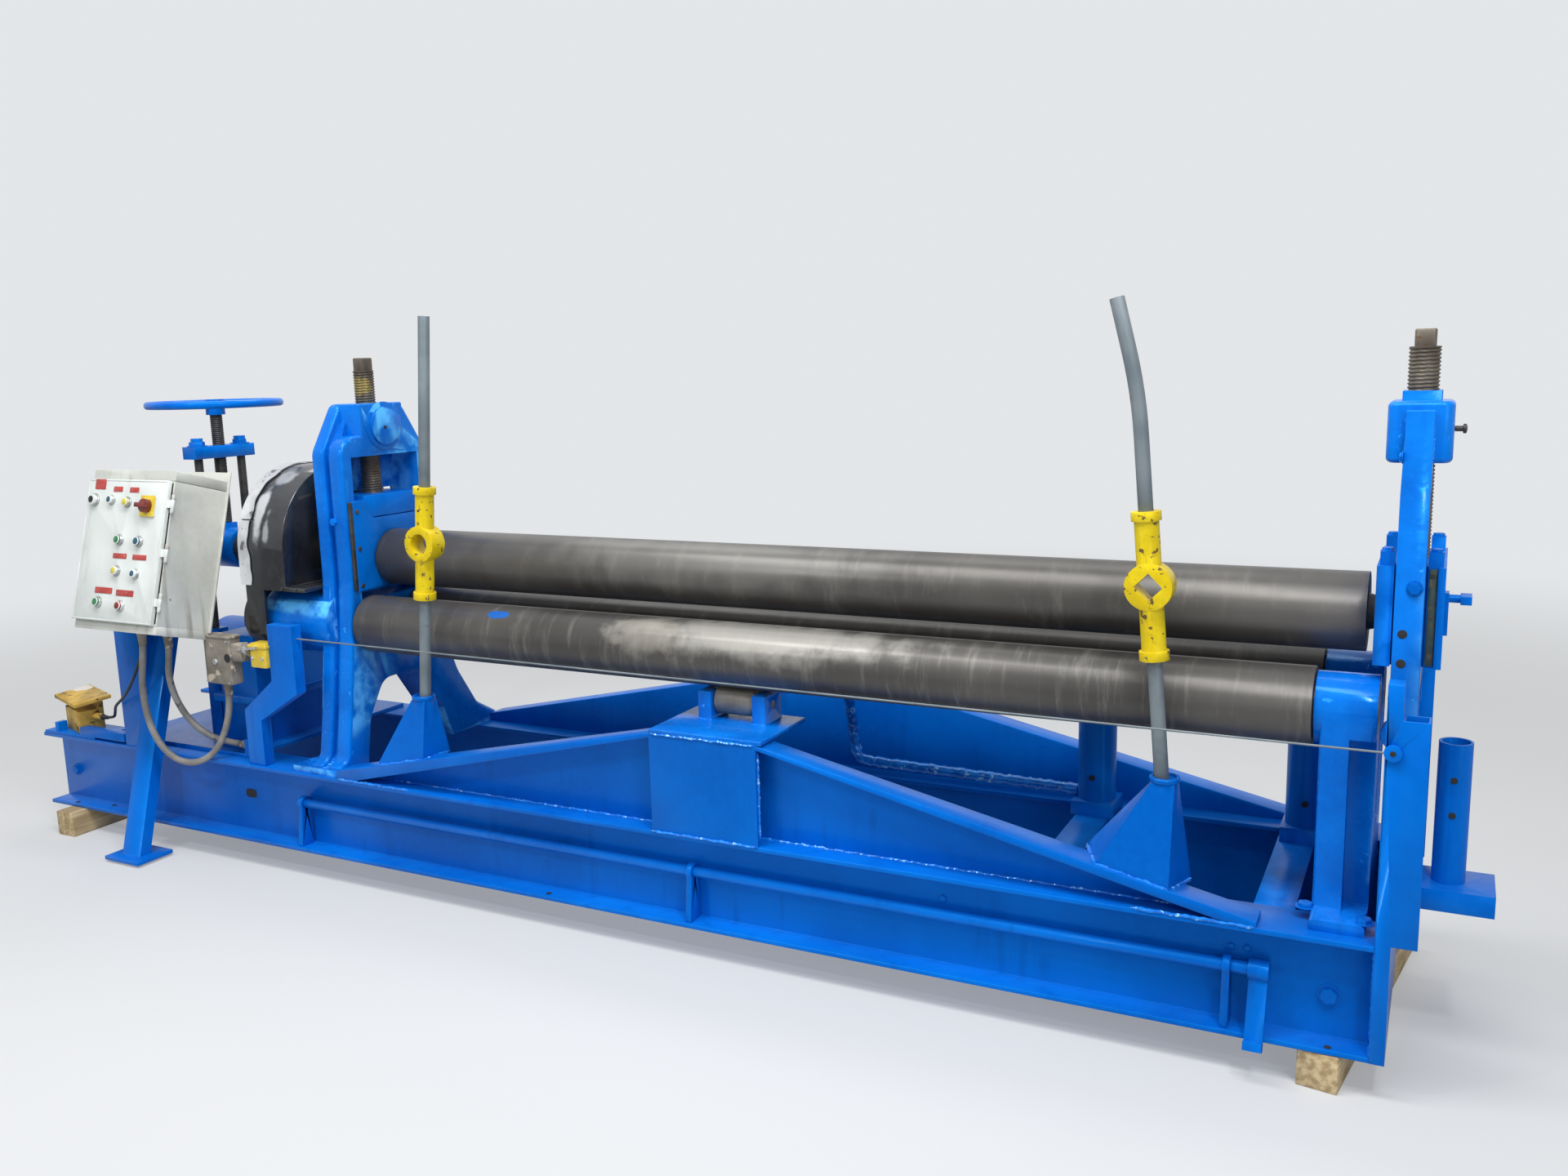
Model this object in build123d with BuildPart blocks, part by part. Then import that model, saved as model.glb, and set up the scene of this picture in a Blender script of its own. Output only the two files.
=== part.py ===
from build123d import *
import math
import os

# Plate bending roll on two timber skids, at its real size in millimetres.
# X runs along the rolls, Y to the back, Z up; the floor is Z = 0.

# overall layout
base_length = 4517.0
base_depth = 836.0
panel_reach = 205.0         # control box in front of the base
timber_tail = 44.0          # timbers behind the base
stub_reach = 234.0          # outer stub's plate past the beams
overall_length = base_length + stub_reach
overall_depth = panel_reach + base_depth + timber_tail
beam_left = -overall_length / 2
beam_right = beam_left + base_length
front = -overall_depth / 2 + panel_reach
back = front + base_depth
mid = (beam_left + beam_right) / 2
roll_left = beam_left + 1488.5      # left ends of all three rolls
roll_right = beam_right - 156.5     # right ends of the two lower rolls

# base
timber_size = 89.0
beam_height = 272.0
flange_width = 146.0
flange_thickness = 13.0
web_thickness = 10.0
deck = timber_size + beam_height
plate_thickness = 32.0      # end plate and its two upright bars
hinge_x = beam_right + plate_thickness / 2
girder_top = deck + 282.0
girder_flange = 75.0
girder_plate = 12.0
plateau_left = mid + 412
plateau_right = mid + 747
right_toe = roll_right - 86
left_toe_height = 28.0
right_toe_height = 14.0
toe_gap = 0.5
cross_beam_width = 92.0
cross_beam_height = 140.0
cross_beams = {"middle": roll_right - 602, "right": roll_right - 65}
bed_left = roll_left - 1130
bed_right = roll_left - 470
bed_plate = 14.0

# rolls
roll_y = front + 323
top_roll_z = 1040.0
top_roll_radius = 93.0
lower_roll_z = 836.0
lower_roll_radius = 92.0
lower_roll_spread = 123.0
front_roll_y = roll_y - lower_roll_spread
rear_roll_y = roll_y + lower_roll_spread
top_roll_right = roll_right + 96
journal_radius = 60.0
running_fit = 0.05
slide_fit = 0.4
side_play = 3.0

# left housing
face_plate = 12.0           # bearing block's plate on the housing's inner side
housing_right = roll_left - side_play - face_plate
housing_thickness = 131.0
housing_left = housing_right - housing_thickness
housing_mid = housing_right - housing_thickness / 2
left_toe = housing_right + toe_gap
leg_half = 193.0
window_half = 150.0
window_bottom = 915.0
window_top = 1378.0
head_shoulder = 1395.0
head_half = 100.0
head_top = 1546.0
foot_height = 30.0
front_foot = front + 20
rear_foot = back - 36
block_bottom = 948.0
block_top = 1238.0
hub_radius = 111.0
hub_left = roll_left - 410
screw_radius = 33.0
square_size = 44.0
left_thread_top = 1650.0
left_screw_top = 1692.0

# tail of the top roll, its guard and the balance screw over it
tail_radius = 54.0
tail_left = roll_left - 820
tail_bearing_left = roll_left - 848
tail_bearing_right = roll_left - 708
tail_bearing_radius = 71.0
guard_left = roll_left - 426
guard_right = roll_left - 230
guard_radius = 265.0
guard_z = 1080.0
guard_sheet = 3.0
gear_radius = 98.0
balance_x = roll_left - 794
balance_rod_spread = 91.0
balance_rod_radius = 14.0
crosshead_bottom = 1362.0
crosshead_top = 1405.0
wheel_radius = 228.0
wheel_z = 1550.0

# drop end on the right
drop_mid = beam_right + 27.5
drop_thickness = 58.0
drop_window_half = 147.0
drop_window_bottom = 938.0
drop_window_top = 1330.0
drop_head_half = 95.0
hinge_z = 800.0
hinge_radius = 12.0
hinge_eye = 32.0
boss_width = 134.0
boss_half = 75.0
boss_bottom = 1388.0
boss_top = 1523.0
nut_half = 40.0
nut_top = 1545.0
right_block_left = roll_right + 116
right_block_right = roll_right + 252
right_block_bottom = 950.0
right_block_top = 1172.0
right_thread_top = 1640.0
right_screw_top = 1679.0
nose_bore = 48.0
nose_root = 43.0
nose_tip = 32.0
nose_length = 128.0

# right lower housing
pedestal_left = roll_right + 4
pedestal_right = roll_right + 134
barrel_radius = 83.0
recess_left = 76.0
recess_depth = 36.0

# support roller under the front roll
roller_radius = 40.0
roller_left = mid + 532
roller_right = mid + 656
roller_pin = 12.0
cheek_left = mid + 486
cheek_right = mid + 700
cheek_height = 80.0

# bar wrenches in their sockets
bar_radius = 17.0
socket_radius = 31.0
socket_wall = 4.0
wrench_y = front + 62
hub_square = 46.0
hub_outer = 54.0
sleeve_radius = 28.0
collar_radius = 34.0
round_hole = 31.0

# foot treadle along the front
treadle_y = front + 42
treadle_z = 243.0
treadle_radius = 15.0
treadle_eye = 24.0
treadle_left = roll_left - 215
treadle_right = roll_right - 59

# control box on its leaning post
box_width = 400.0
box_height = 470.0
box_depth = 200.0
door_thickness = 14.0
box_tilt = 15.5
box_left = roll_left - 944
box_low_z = 862.0
post_left = roll_left - 921
post_right = roll_left - 831
post_thickness = 42.0
column_left = roll_left - 1030
back_plate = 4.0


def block(x0, x1, y0, y1, z0, z1, mode=Mode.ADD):
    # a plain box from its lowest to its highest corner
    with Locations(((x0 + x1) / 2, (y0 + y1) / 2, (z0 + z1) / 2)):
        Box(x1 - x0, y1 - y0, z1 - z0, mode=mode)


def bar_x(x0, x1, y, z, radius, mode=Mode.ADD):
    # a round bar along X
    with Locations(((x0 + x1) / 2, y, z)):
        Cylinder(radius, x1 - x0, rotation=(0, 90, 0), mode=mode)


def bar_y(x, y0, y1, z, radius, mode=Mode.ADD):
    # a round bar along Y
    with Locations((x, (y0 + y1) / 2, z)):
        Cylinder(radius, y1 - y0, rotation=(90, 0, 0), mode=mode)


def bar_z(x, y, z0, z1, radius, mode=Mode.ADD):
    # a round bar along Z
    with Locations((x, y, (z0 + z1) / 2)):
        Cylinder(radius, z1 - z0, mode=mode)


def turned_block(frame, x0, x1, y0, y1, z0, z1, mode=Mode.ADD):
    # the same in a frame that is turned on the deck
    with Locations(frame * Location(((x0 + x1) / 2, (y0 + y1) / 2, (z0 + z1) / 2))):
        Box(x1 - x0, y1 - y0, z1 - z0, mode=mode)


def turned_bar(frame, x0, x1, y, z, radius, mode=Mode.ADD):
    # a round bar along the turned frame's own X
    with Locations(frame * Location(((x0 + x1) / 2, y, z))):
        Cylinder(radius, x1 - x0, rotation=(0, 90, 0), mode=mode)


def route(points):
    # straight runs joined by arcs as large as the shorter run at each corner allows
    corners = [Vector(point) for point in points]
    radii = []
    for before, corner, after in zip(corners, corners[1:], corners[2:]):
        run_in = corner - before
        run_out = after - corner
        half_turn = math.radians(run_in.get_angle(run_out)) / 2
        radii.append(0.45 * min(run_in.length, run_out.length) / math.tan(half_turn))
    print("cord radii", [round(radius) for radius in radii])
    with BuildLine() as path:
        FilletPolyline(*corners, radius=radii)
    return path.wire()


def cross_section(x):
    # plane at right angles to the rolls: its own x is Y and its own y is Z
    return Plane(origin=(x, 0, 0), x_dir=(0, 1, 0), z_dir=(1, 0, 0))


def side_view(y):
    # plane along the rolls, seen from the front: its own x is X and its own y is Z
    return Plane(origin=(0, y, 0), x_dir=(1, 0, 0), z_dir=(0, -1, 0))


def outline(points, plane):
    # a straight-sided profile on a plane, made before the block that extrudes it
    with BuildSketch(plane) as profile:
        with BuildLine():
            Polyline(*points, close=True)
        make_face()
    return profile.sketch


def rounded_outline(corners, plane):
    # a profile with a radius at each corner; a straight side joins its last corner to its first
    with BuildSketch(plane) as profile:
        with BuildLine():
            radii = [corner[2] for corner in corners[1:-1]]
            curve = FilletPolyline(*[corner[:2] for corner in corners], radius=radii)
            Line(curve @ 1, curve @ 0)
        make_face()
    return profile.sketch


os.makedirs("parts", exist_ok=True)

# two timbers under the ends of the base; the right one lies a little askew
with BuildPart() as timber_left:
    block(roll_left - 1380, roll_left - 1380 + timber_size, front - 60, back + timber_tail, 0, timber_size)
timber_left.part.label = "timber_left"
export_step(timber_left.part, "parts/timber_left.step")

timber_skew = 9.0
skew_shift = base_depth * math.tan(math.radians(timber_skew))
with BuildPart() as timber_right:
    with BuildSketch(Plane.XY):
        with BuildLine():
            Polyline(
                (roll_right + 8, front + 8),
                (roll_right + 8 + timber_size, front - 6),
                (roll_right + 8 + timber_size + skew_shift, back + timber_tail),
                (roll_right + 8 + skew_shift, back + timber_tail),
                close=True,
            )
        make_face()
    extrude(amount=timber_size)
timber_right.part.label = "timber_right"
export_step(timber_right.part, "parts/timber_right.step")

# two long flanged beams
web_y = {"front": front + flange_width / 2, "rear": back - flange_width / 2}
for side, y in web_y.items():
    with BuildPart() as beam:
        half = flange_width / 2
        low = timber_size
        block(beam_left, beam_right, y - half, y + half, low, low + flange_thickness)
        block(beam_left, beam_right, y - half, y + half, deck - flange_thickness, deck)
        web = web_thickness / 2
        block(beam_left, beam_right, y - web, y + web, low + flange_thickness, deck - flange_thickness)
    beam.part.label = f"{side}_beam"
    export_step(beam.part, f"parts/{side}_beam.step")

# cross beams between the two webs, level with the deck
cross_front = web_y["front"] + web_thickness / 2
cross_back = web_y["rear"] - web_thickness / 2
flange_reach = flange_width / 2 - web_thickness / 2
for place, x in cross_beams.items():
    with BuildPart() as cross_beam:
        half = cross_beam_width / 2
        low = deck - cross_beam_height
        inner_front = cross_front + flange_reach
        inner_back = cross_back - flange_reach
        block(x - half, x + half, inner_front, inner_back, deck - flange_thickness, deck)
        block(x - half, x - half + web_thickness, cross_front, cross_back, low, deck - flange_thickness)
        block(x + half - web_thickness, x + half, cross_front, cross_back, low, deck - flange_thickness)
        block(x - half, x + half, cross_front, cross_back, low - web_thickness, low)
    cross_beam.part.label = f"cross_beam_{place}"
    export_step(cross_beam.part, f"parts/cross_beam_{place}.step")

# plate across the deck that carries the drive and the balance frame
bed_top = deck + bed_plate
bed_front = front + 60
terminal_left = bed_right - 30
terminal_z = 24.0
with BuildPart() as drive_bed:
    block(bed_left, bed_right, bed_front, back - 40, deck, bed_top)
    block(terminal_left, bed_right, front + 62, front + 98, bed_top, bed_top + 2 * terminal_z)
drive_bed.part.label = "drive_bed"
export_step(drive_bed.part, "parts/drive_bed.step")

# sloped girder on each beam, with a flat plateau in the middle
girder_line = (
    (left_toe, deck),
    (left_toe, deck + left_toe_height),
    (plateau_left, girder_top),
    (plateau_right, girder_top),
    (right_toe, deck + right_toe_height),
    (right_toe, deck),
)
flange_points = (
    (left_toe, deck),
    (left_toe, deck + left_toe_height),
    (plateau_left, girder_top),
    (plateau_right, girder_top),
    (right_toe, deck + right_toe_height),
    (right_toe, deck),
    (right_toe - 60, deck),
    (plateau_right - 3, girder_top - girder_plate),
    (plateau_left + 3, girder_top - girder_plate),
    (left_toe + 60, deck),
)
for side in ("front", "rear"):
    outer = front if side == "front" else back
    inward = 1 if side == "front" else -1
    flange_profile = outline(flange_points, side_view(outer))
    web_profile = outline(girder_line, side_view(outer + inward * (girder_flange - web_thickness)))
    with BuildPart() as girder:
        extrude(flange_profile, amount=-inward * girder_flange)
        extrude(web_profile, amount=-inward * web_thickness)
        low_y, high_y = sorted((outer, outer + inward * girder_plate))
        block(plateau_left, plateau_right, low_y, high_y, deck, girder_top)
    girder.part.label = f"{side}_girder"
    export_step(girder.part, f"parts/{side}_girder.step")

# end plate across both beams, its two upright bars and the two box posts beside them
plate_left = beam_right
plate_right = plate_left + plate_thickness
plate_top = 460.0
bar_depth = 55.0
bar_top = 946.0
bar_mouth = {"front": front, "rear": 2 * roll_y - front - bar_depth}
post_width = 52.0
post_wall = 5.0
post_low = 367.0
post_top = 870.0
with BuildPart() as end_plate:
    block(plate_left, plate_right, front, back, timber_size, plate_top)
    for y in bar_mouth.values():
        block(plate_left, plate_right, y, y + bar_depth, plate_top, bar_top)
        block(plate_right, plate_right + post_width, y, y + bar_depth, post_low, post_top)
        block(
            plate_right + post_wall,
            plate_right + post_width - post_wall,
            y + post_wall,
            y + bar_depth - post_wall,
            post_low + post_wall,
            post_top + 1,
            Mode.SUBTRACT,
        )
        bar_y(hinge_x, y - 1, y + bar_depth + 1, hinge_z, hinge_radius + running_fit, Mode.SUBTRACT)
end_plate.part.label = "end_plate"
export_step(end_plate.part, "parts/end_plate.step")

# hinge pin of the drop end, from one upright bar to the other, with a round head in front
pin_head = 10.0
pin_head_radius = 18.0
with BuildPart() as hinge_pin:
    bar_y(hinge_x, bar_mouth["front"] - pin_head, bar_mouth["front"], hinge_z, pin_head_radius)
    bar_y(hinge_x, bar_mouth["front"], bar_mouth["rear"] + bar_depth, hinge_z, hinge_radius)
hinge_pin.part.label = "hinge_pin"
export_step(hinge_pin.part, "parts/hinge_pin.step")

# outer stub: a bracket plate off the end plate with an open pipe on it
stub_pipe_x = roll_right + 293
stub_radius = 36.0
stub_wall = 6.0
stub_top = 750.0
stub_half = 75.0
stub_low = 366.0
stub_plate = 51.0
with BuildPart() as stub:
    block(plate_right, beam_left + overall_length, roll_y - stub_half, roll_y + stub_half,
          stub_low, stub_low + stub_plate)
    bar_z(stub_pipe_x, roll_y, stub_low + stub_plate, stub_top, stub_radius)
    bar_z(stub_pipe_x, roll_y, stub_low + stub_plate, stub_top + 1, stub_radius - stub_wall, Mode.SUBTRACT)
stub.part.label = "stub_support"
export_step(stub.part, "parts/stub_support.step")

# left housing: a casting with two legs, a head for the screw and two long bearing hubs
leg_rise = 110.0            # the legs' bend under the bearing block, from the front of the base
rib_outer = 51.0
rib_inner = 58.0
rib_recess = 24.0
rib_round = 13.0
arch_top = window_top + 68
backing = 10.0              # plate that closes the window above the bearing block
housing_curve = (
    (front_foot, deck, 1),
    (front_foot, deck + foot_height, 8),
    (front + 56, deck + foot_height + 14, 40),
    (front + 82, 560, 160),
    (front + leg_rise, 780, 260),
    (roll_y - leg_half, 980, 260),
    (roll_y - leg_half, head_shoulder, 60),
    (roll_y - head_half, head_top, 30),
    (roll_y + head_half, head_top, 30),
    (roll_y + leg_half, head_shoulder, 60),
    (roll_y + leg_half, 1000, 200),
    (back - 291, 760, 200),
    (back - 226, 590, 160),
    (back - 136, 450, 60),
    (rear_foot, deck + foot_height, 8),
    (rear_foot, deck, 1),
)
inner_curve = (
    *housing_curve[:6],
    (roll_y - leg_half, arch_top, 72),
    (roll_y + head_half - 60, arch_top, 14),
    (roll_y + head_half - 60, head_top - 8, 14),
    (roll_y + head_half, head_top - 8, 30),
    *housing_curve[9:],
)
web_curve = [
    (y + rib_recess if y < roll_y else y - rib_recess, min(z, head_top - rib_recess), radius)
    for y, z, radius in housing_curve
]
arch_curve = (
    (front + 142, deck - 1, 1),
    (front + 168, 520, 90),
    (front + 240, 640, 60),
    (back - 430, 640, 60),
    (back - 320, 480, 90),
    (back - 276, deck - 1, 1),
)
ribs = []
for start, width, curve in (
    (housing_left, rib_outer, housing_curve),
    (housing_right - rib_inner, rib_inner, inner_curve),
):
    rib_profile = rounded_outline(curve, cross_section(start))
    with BuildPart() as rib:
        extrude(rib_profile, amount=width)
        fillet(rib.edges().filter_by(Axis.X, reverse=True).group_by(Axis.Z)[1:], rib_round)
    ribs.append(rib.part)
web_profile = rounded_outline(web_curve, cross_section(housing_left + rib_outer))
arch_profile = rounded_outline(arch_curve, cross_section(housing_left - 1))
head_left = housing_left + 22
boss_z = 1472.0
boss_radius = 62.0
boss_rim = 78.0
hub_round = 30.0
backing_low = block_top + 20
with BuildPart() as housing_head:
    block(head_left, housing_right, roll_y - head_half, roll_y + head_half, window_top, head_top)
    fillet(housing_head.edges().filter_by(Axis.Z), 10)
    fillet(housing_head.edges().group_by(Axis.Z)[-1], 6)
with BuildPart() as left_housing:
    add(ribs)
    extrude(web_profile, amount=housing_thickness - rib_outer - rib_inner)
    add(housing_head.part)
    for y in (front_roll_y, rear_roll_y):
        bar_x(hub_left, housing_left + rib_outer, y, lower_roll_z, hub_radius)
    fillet(left_housing.edges().group_by(Axis.X)[0], hub_round)
    # pads under the feet
    block(housing_left - 70, housing_right, front_foot - 8, front + 142, deck, deck + 22)
    block(housing_left - 70, housing_right, back - 276, rear_foot + 8, deck, deck + 22)
    # the opening between the legs and the window of the bearing block
    extrude(arch_profile, amount=housing_thickness + 2, mode=Mode.SUBTRACT)
    block(housing_left - 1, housing_right + 1, roll_y - window_half, roll_y + window_half,
          window_bottom, window_top, Mode.SUBTRACT)
    block(housing_left, housing_left + backing, roll_y - window_half, roll_y + window_half,
          backing_low, window_top)
    for y in (front_roll_y, rear_roll_y):
        bar_x(hub_left - 1, housing_right + 1, y, lower_roll_z, journal_radius + running_fit, Mode.SUBTRACT)
    # round boss on the head, and the tapped hole of the screw
    bar_x(housing_right, housing_right + 4, roll_y + 5, boss_z, boss_rim)
    bar_x(housing_right, housing_right + face_plate, roll_y + 5, boss_z, boss_radius)
    bar_z(housing_mid, roll_y, window_top - 1, head_top + 1, screw_radius + slide_fit, Mode.SUBTRACT)
left_housing.part.label = "left_housing"
export_step(left_housing.part, "parts/left_housing.step")

# bearing block in the window, with a wider plate on the inner side
block_half = window_half - slide_fit
plate_half = 170.0
pad_width = 118.0
pad_height = block_top + 14
slit_z = 1178.0
block_left = housing_left + backing + slide_fit
with BuildPart() as left_block:
    block(block_left, housing_right + slide_fit, roll_y - block_half, roll_y + block_half,
          block_bottom, block_top)
    block(housing_right + slide_fit, roll_left - side_play, roll_y - plate_half, roll_y + plate_half,
          block_bottom, block_top)
    block(block_left, roll_left - side_play, roll_y - pad_width, roll_y + pad_width, block_top, pad_height)
    bar_x(housing_left, roll_left - side_play, roll_y, top_roll_z, journal_radius + running_fit, Mode.SUBTRACT)
    block(housing_right + slide_fit, roll_left, roll_y - 82, roll_y + plate_half + 1, slit_z, slit_z + 3,
          Mode.SUBTRACT)
left_block.part.label = "left_block"
export_step(left_block.part, "parts/left_block.step")

# adjusting screw: a thick threaded bar with a square top
with BuildPart() as left_screw:
    bar_z(housing_mid, roll_y, pad_height, left_thread_top, screw_radius)
    block(housing_mid - square_size / 2, housing_mid + square_size / 2,
          roll_y - square_size / 2, roll_y + square_size / 2, left_thread_top, left_screw_top)
left_screw.part.label = "left_screw"
export_step(left_screw.part, "parts/left_screw.step")

# the three rolls; the top one has a long tail on the left and a tapered nose on the right
with BuildPart() as top_roll:
    bar_x(roll_left, top_roll_right, roll_y, top_roll_z, top_roll_radius)
    bar_x(housing_left, roll_left, roll_y, top_roll_z, journal_radius)
    bar_x(tail_left, housing_left, roll_y, top_roll_z, tail_radius)
    bar_x(guard_left + 40, guard_left + 120, roll_y, top_roll_z, gear_radius)
    with BuildSketch(Plane(origin=(top_roll_right, roll_y, top_roll_z), x_dir=(0, 1, 0), z_dir=(1, 0, 0))):
        Circle(nose_root)
    with BuildSketch(Plane(origin=(top_roll_right + nose_length / 3, roll_y, top_roll_z),
                           x_dir=(0, 1, 0), z_dir=(1, 0, 0))):
        Circle(nose_tip)
    loft()
    bar_x(top_roll_right + nose_length / 3, top_roll_right + nose_length, roll_y, top_roll_z, nose_tip)
top_roll.part.label = "top_roll"
export_step(top_roll.part, "parts/top_roll.step")

journal_left = hub_left - 70
for name, y in {"front_roll": front_roll_y, "rear_roll": rear_roll_y}.items():
    with BuildPart() as roll:
        bar_x(roll_left, roll_right, y, lower_roll_z, lower_roll_radius)
        bar_x(journal_left, roll_left, y, lower_roll_z, journal_radius)
        bar_x(roll_right, pedestal_right, y, lower_roll_z, journal_radius)
        bar_x(journal_left, hub_left - 12, y, lower_roll_z, 105)
    roll.part.label = name
    export_step(roll.part, f"parts/{name}.step")

# pressure bearing round the tail, which the balance screw pushes down
pad_half = 26.0
pad_top = 1128.0
with BuildPart() as tail_bearing:
    bar_x(tail_bearing_left, tail_bearing_right, roll_y, top_roll_z, tail_bearing_radius)
    block(balance_x - pad_half, balance_x + pad_half, roll_y - pad_half, roll_y + pad_half, top_roll_z, pad_top)
    bar_x(tail_left, tail_bearing_right, roll_y, top_roll_z, tail_radius + running_fit, Mode.SUBTRACT)
tail_bearing.part.label = "tail_bearing"
export_step(tail_bearing.part, "parts/tail_bearing.step")

# balance frame: two tie rods from the base, with a crosshead on top
frame_post = 60.0
frame_top = 760.0
with BuildPart() as balance_frame:
    for y in (roll_y - balance_rod_spread, roll_y + balance_rod_spread):
        block(balance_x - frame_post / 2, balance_x + frame_post / 2, y - frame_post / 2, y + frame_post / 2,
              bed_top, frame_top)
        bar_z(balance_x, y, frame_top, crosshead_bottom, balance_rod_radius)
        bar_z(balance_x, y, crosshead_top, crosshead_top + 28, balance_rod_radius + 6)
    block(balance_x - 32, balance_x + 32, roll_y - balance_rod_spread - 36, roll_y + balance_rod_spread + 36,
          crosshead_bottom, crosshead_top)
    bar_z(balance_x, roll_y, crosshead_bottom - 1, crosshead_top + 1, 19 + slide_fit, Mode.SUBTRACT)
balance_frame.part.label = "balance_frame"
export_step(balance_frame.part, "parts/balance_frame.step")

# handwheel with its screw, which stands on the pressure bearing
wheel_rim = 13.0
spoke_radius = 10.0
with BuildPart() as handwheel:
    bar_z(balance_x, roll_y, wheel_z - wheel_rim, wheel_z + wheel_rim, wheel_radius)
    bar_z(balance_x, roll_y, wheel_z - wheel_rim, wheel_z + wheel_rim, wheel_radius - 2 * wheel_rim,
          Mode.SUBTRACT)
    fillet(handwheel.edges(), 0.9 * wheel_rim)
    reach = wheel_radius - 1.4 * wheel_rim
    bar_x(balance_x - reach, balance_x + reach, roll_y, wheel_z, spoke_radius)
    bar_y(balance_x, roll_y - reach, roll_y + reach, wheel_z, spoke_radius)
    bar_z(balance_x, roll_y, wheel_z - 38, wheel_z + 16, 32)
    bar_z(balance_x, roll_y, pad_top + 0.3, wheel_z - 30, 19)
handwheel.part.label = "handwheel"
export_step(handwheel.part, "parts/handwheel.step")

# sheet guard over the gear: round on top, open below, with a slot for the tail on each side
guard_bottom = 965.0
guard_strip = 14.0
strip_left = guard_left + 12
strip_width = 81.0
strip_bottom = 800.0
slot_half = 70.0
slot_top = 1225.0
with BuildSketch(cross_section(guard_left)) as guard_profile:
    with Locations((roll_y, guard_z)):
        Circle(guard_radius)
        Rectangle(2 * guard_radius, guard_z - guard_bottom, align=(Align.CENTER, Align.MAX))
    with Locations((roll_y, guard_bottom)):
        Rectangle(2.2 * guard_radius, 2 * guard_radius, align=(Align.CENTER, Align.MAX), mode=Mode.SUBTRACT)
with BuildPart() as gear_guard:
    extrude(guard_profile.sketch, amount=guard_right - guard_left)
    inner = guard_radius - guard_sheet
    bar_x(guard_left + guard_sheet, guard_right - guard_sheet, roll_y, guard_z, inner, Mode.SUBTRACT)
    block(guard_left + guard_sheet, guard_right - guard_sheet, roll_y - inner, roll_y + inner,
          guard_bottom - 1, guard_z, Mode.SUBTRACT)
    block(guard_left - 1, guard_right + 1, roll_y - slot_half, roll_y + slot_half,
          guard_bottom - 1, slot_top, Mode.SUBTRACT)
    # upright sheet hanging in front, and the rail and bracket that hold it to the housing
    strip_back = roll_y - guard_radius + guard_strip
    block(strip_left, strip_left + strip_width, roll_y - guard_radius, strip_back, strip_bottom, guard_z)
    block(strip_left, housing_left, roll_y - guard_radius, strip_back, guard_bottom - 14, guard_bottom)
    block(guard_right - 40, housing_left, roll_y - guard_radius, roll_y - 120, guard_bottom - 14, guard_bottom)
gear_guard.part.label = "gear_guard"
export_step(gear_guard.part, "parts/gear_guard.step")

# gear case behind the hubs, with its motor
case_top = 758.0
case_joint = 520.0
with BuildPart() as gear_case:
    block(roll_left - 710, roll_left - 530, roll_y - 158, roll_y + 274, bed_top, case_top)
    block(roll_left - 730, roll_left - 510, roll_y - 178, roll_y + 294, case_joint, case_joint + 25)
    fillet(gear_case.edges().filter_by(Axis.X).group_by(Axis.Z)[-1], 8)
gear_case.part.label = "gear_case"
export_step(gear_case.part, "parts/gear_case.step")

motor_y = roll_y + 245
motor_z = 600.0
motor_radius = 120.0
with BuildPart() as motor:
    bar_x(roll_left - 1130, roll_left - 730.5, motor_y, motor_z, motor_radius)
    block(roll_left - 1080, roll_left - 790, motor_y - 100, motor_y + 100, bed_top, motor_z - 60)
motor.part.label = "motor"
export_step(motor.part, "parts/motor.step")

# right lower housing: a pedestal for each lower roll on one foot
pedestal_points = (
    (front + 40, deck),
    (front + 40, deck + 26),
    (front_roll_y - 96, deck + 34),
    (front_roll_y - 88, deck + 90),
    (front_roll_y - barrel_radius, lower_roll_z),
    (front_roll_y + barrel_radius, lower_roll_z),
    (front_roll_y + barrel_radius - 10, deck + 180),
    (rear_roll_y - barrel_radius + 10, deck + 180),
    (rear_roll_y - barrel_radius, lower_roll_z),
    (rear_roll_y + barrel_radius, lower_roll_z),
    (rear_roll_y + 88, deck + 90),
    (rear_roll_y + 96, deck + 34),
    (rear_roll_y + 134, deck + 26),
    (rear_roll_y + 134, deck),
)
pedestal_profile = outline(pedestal_points, cross_section(pedestal_left + 14))
with BuildPart() as pedestal:
    extrude(pedestal_profile, amount=pedestal_right - pedestal_left - 14)
    fillet(pedestal.edges().filter_by(Axis.X, reverse=True).group_by(Axis.Z)[2:], 11)
with BuildPart() as right_housing:
    add(pedestal.part)
    for y in (front_roll_y, rear_roll_y):
        bar_x(pedestal_left, pedestal_right, y, lower_roll_z, barrel_radius)
    for y in (front_roll_y, rear_roll_y):
        bar_x(pedestal_left - 1, pedestal_right + 1, y, lower_roll_z, journal_radius + running_fit,
              Mode.SUBTRACT)
    # recess beside the front rib, open on the right
    block(pedestal_left + recess_left, pedestal_right + 1, front, front_roll_y - recess_depth,
          deck + 30, lower_roll_z - 50, Mode.SUBTRACT)
right_housing.part.label = "right_housing"
export_step(right_housing.part, "parts/right_housing.step")

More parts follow.
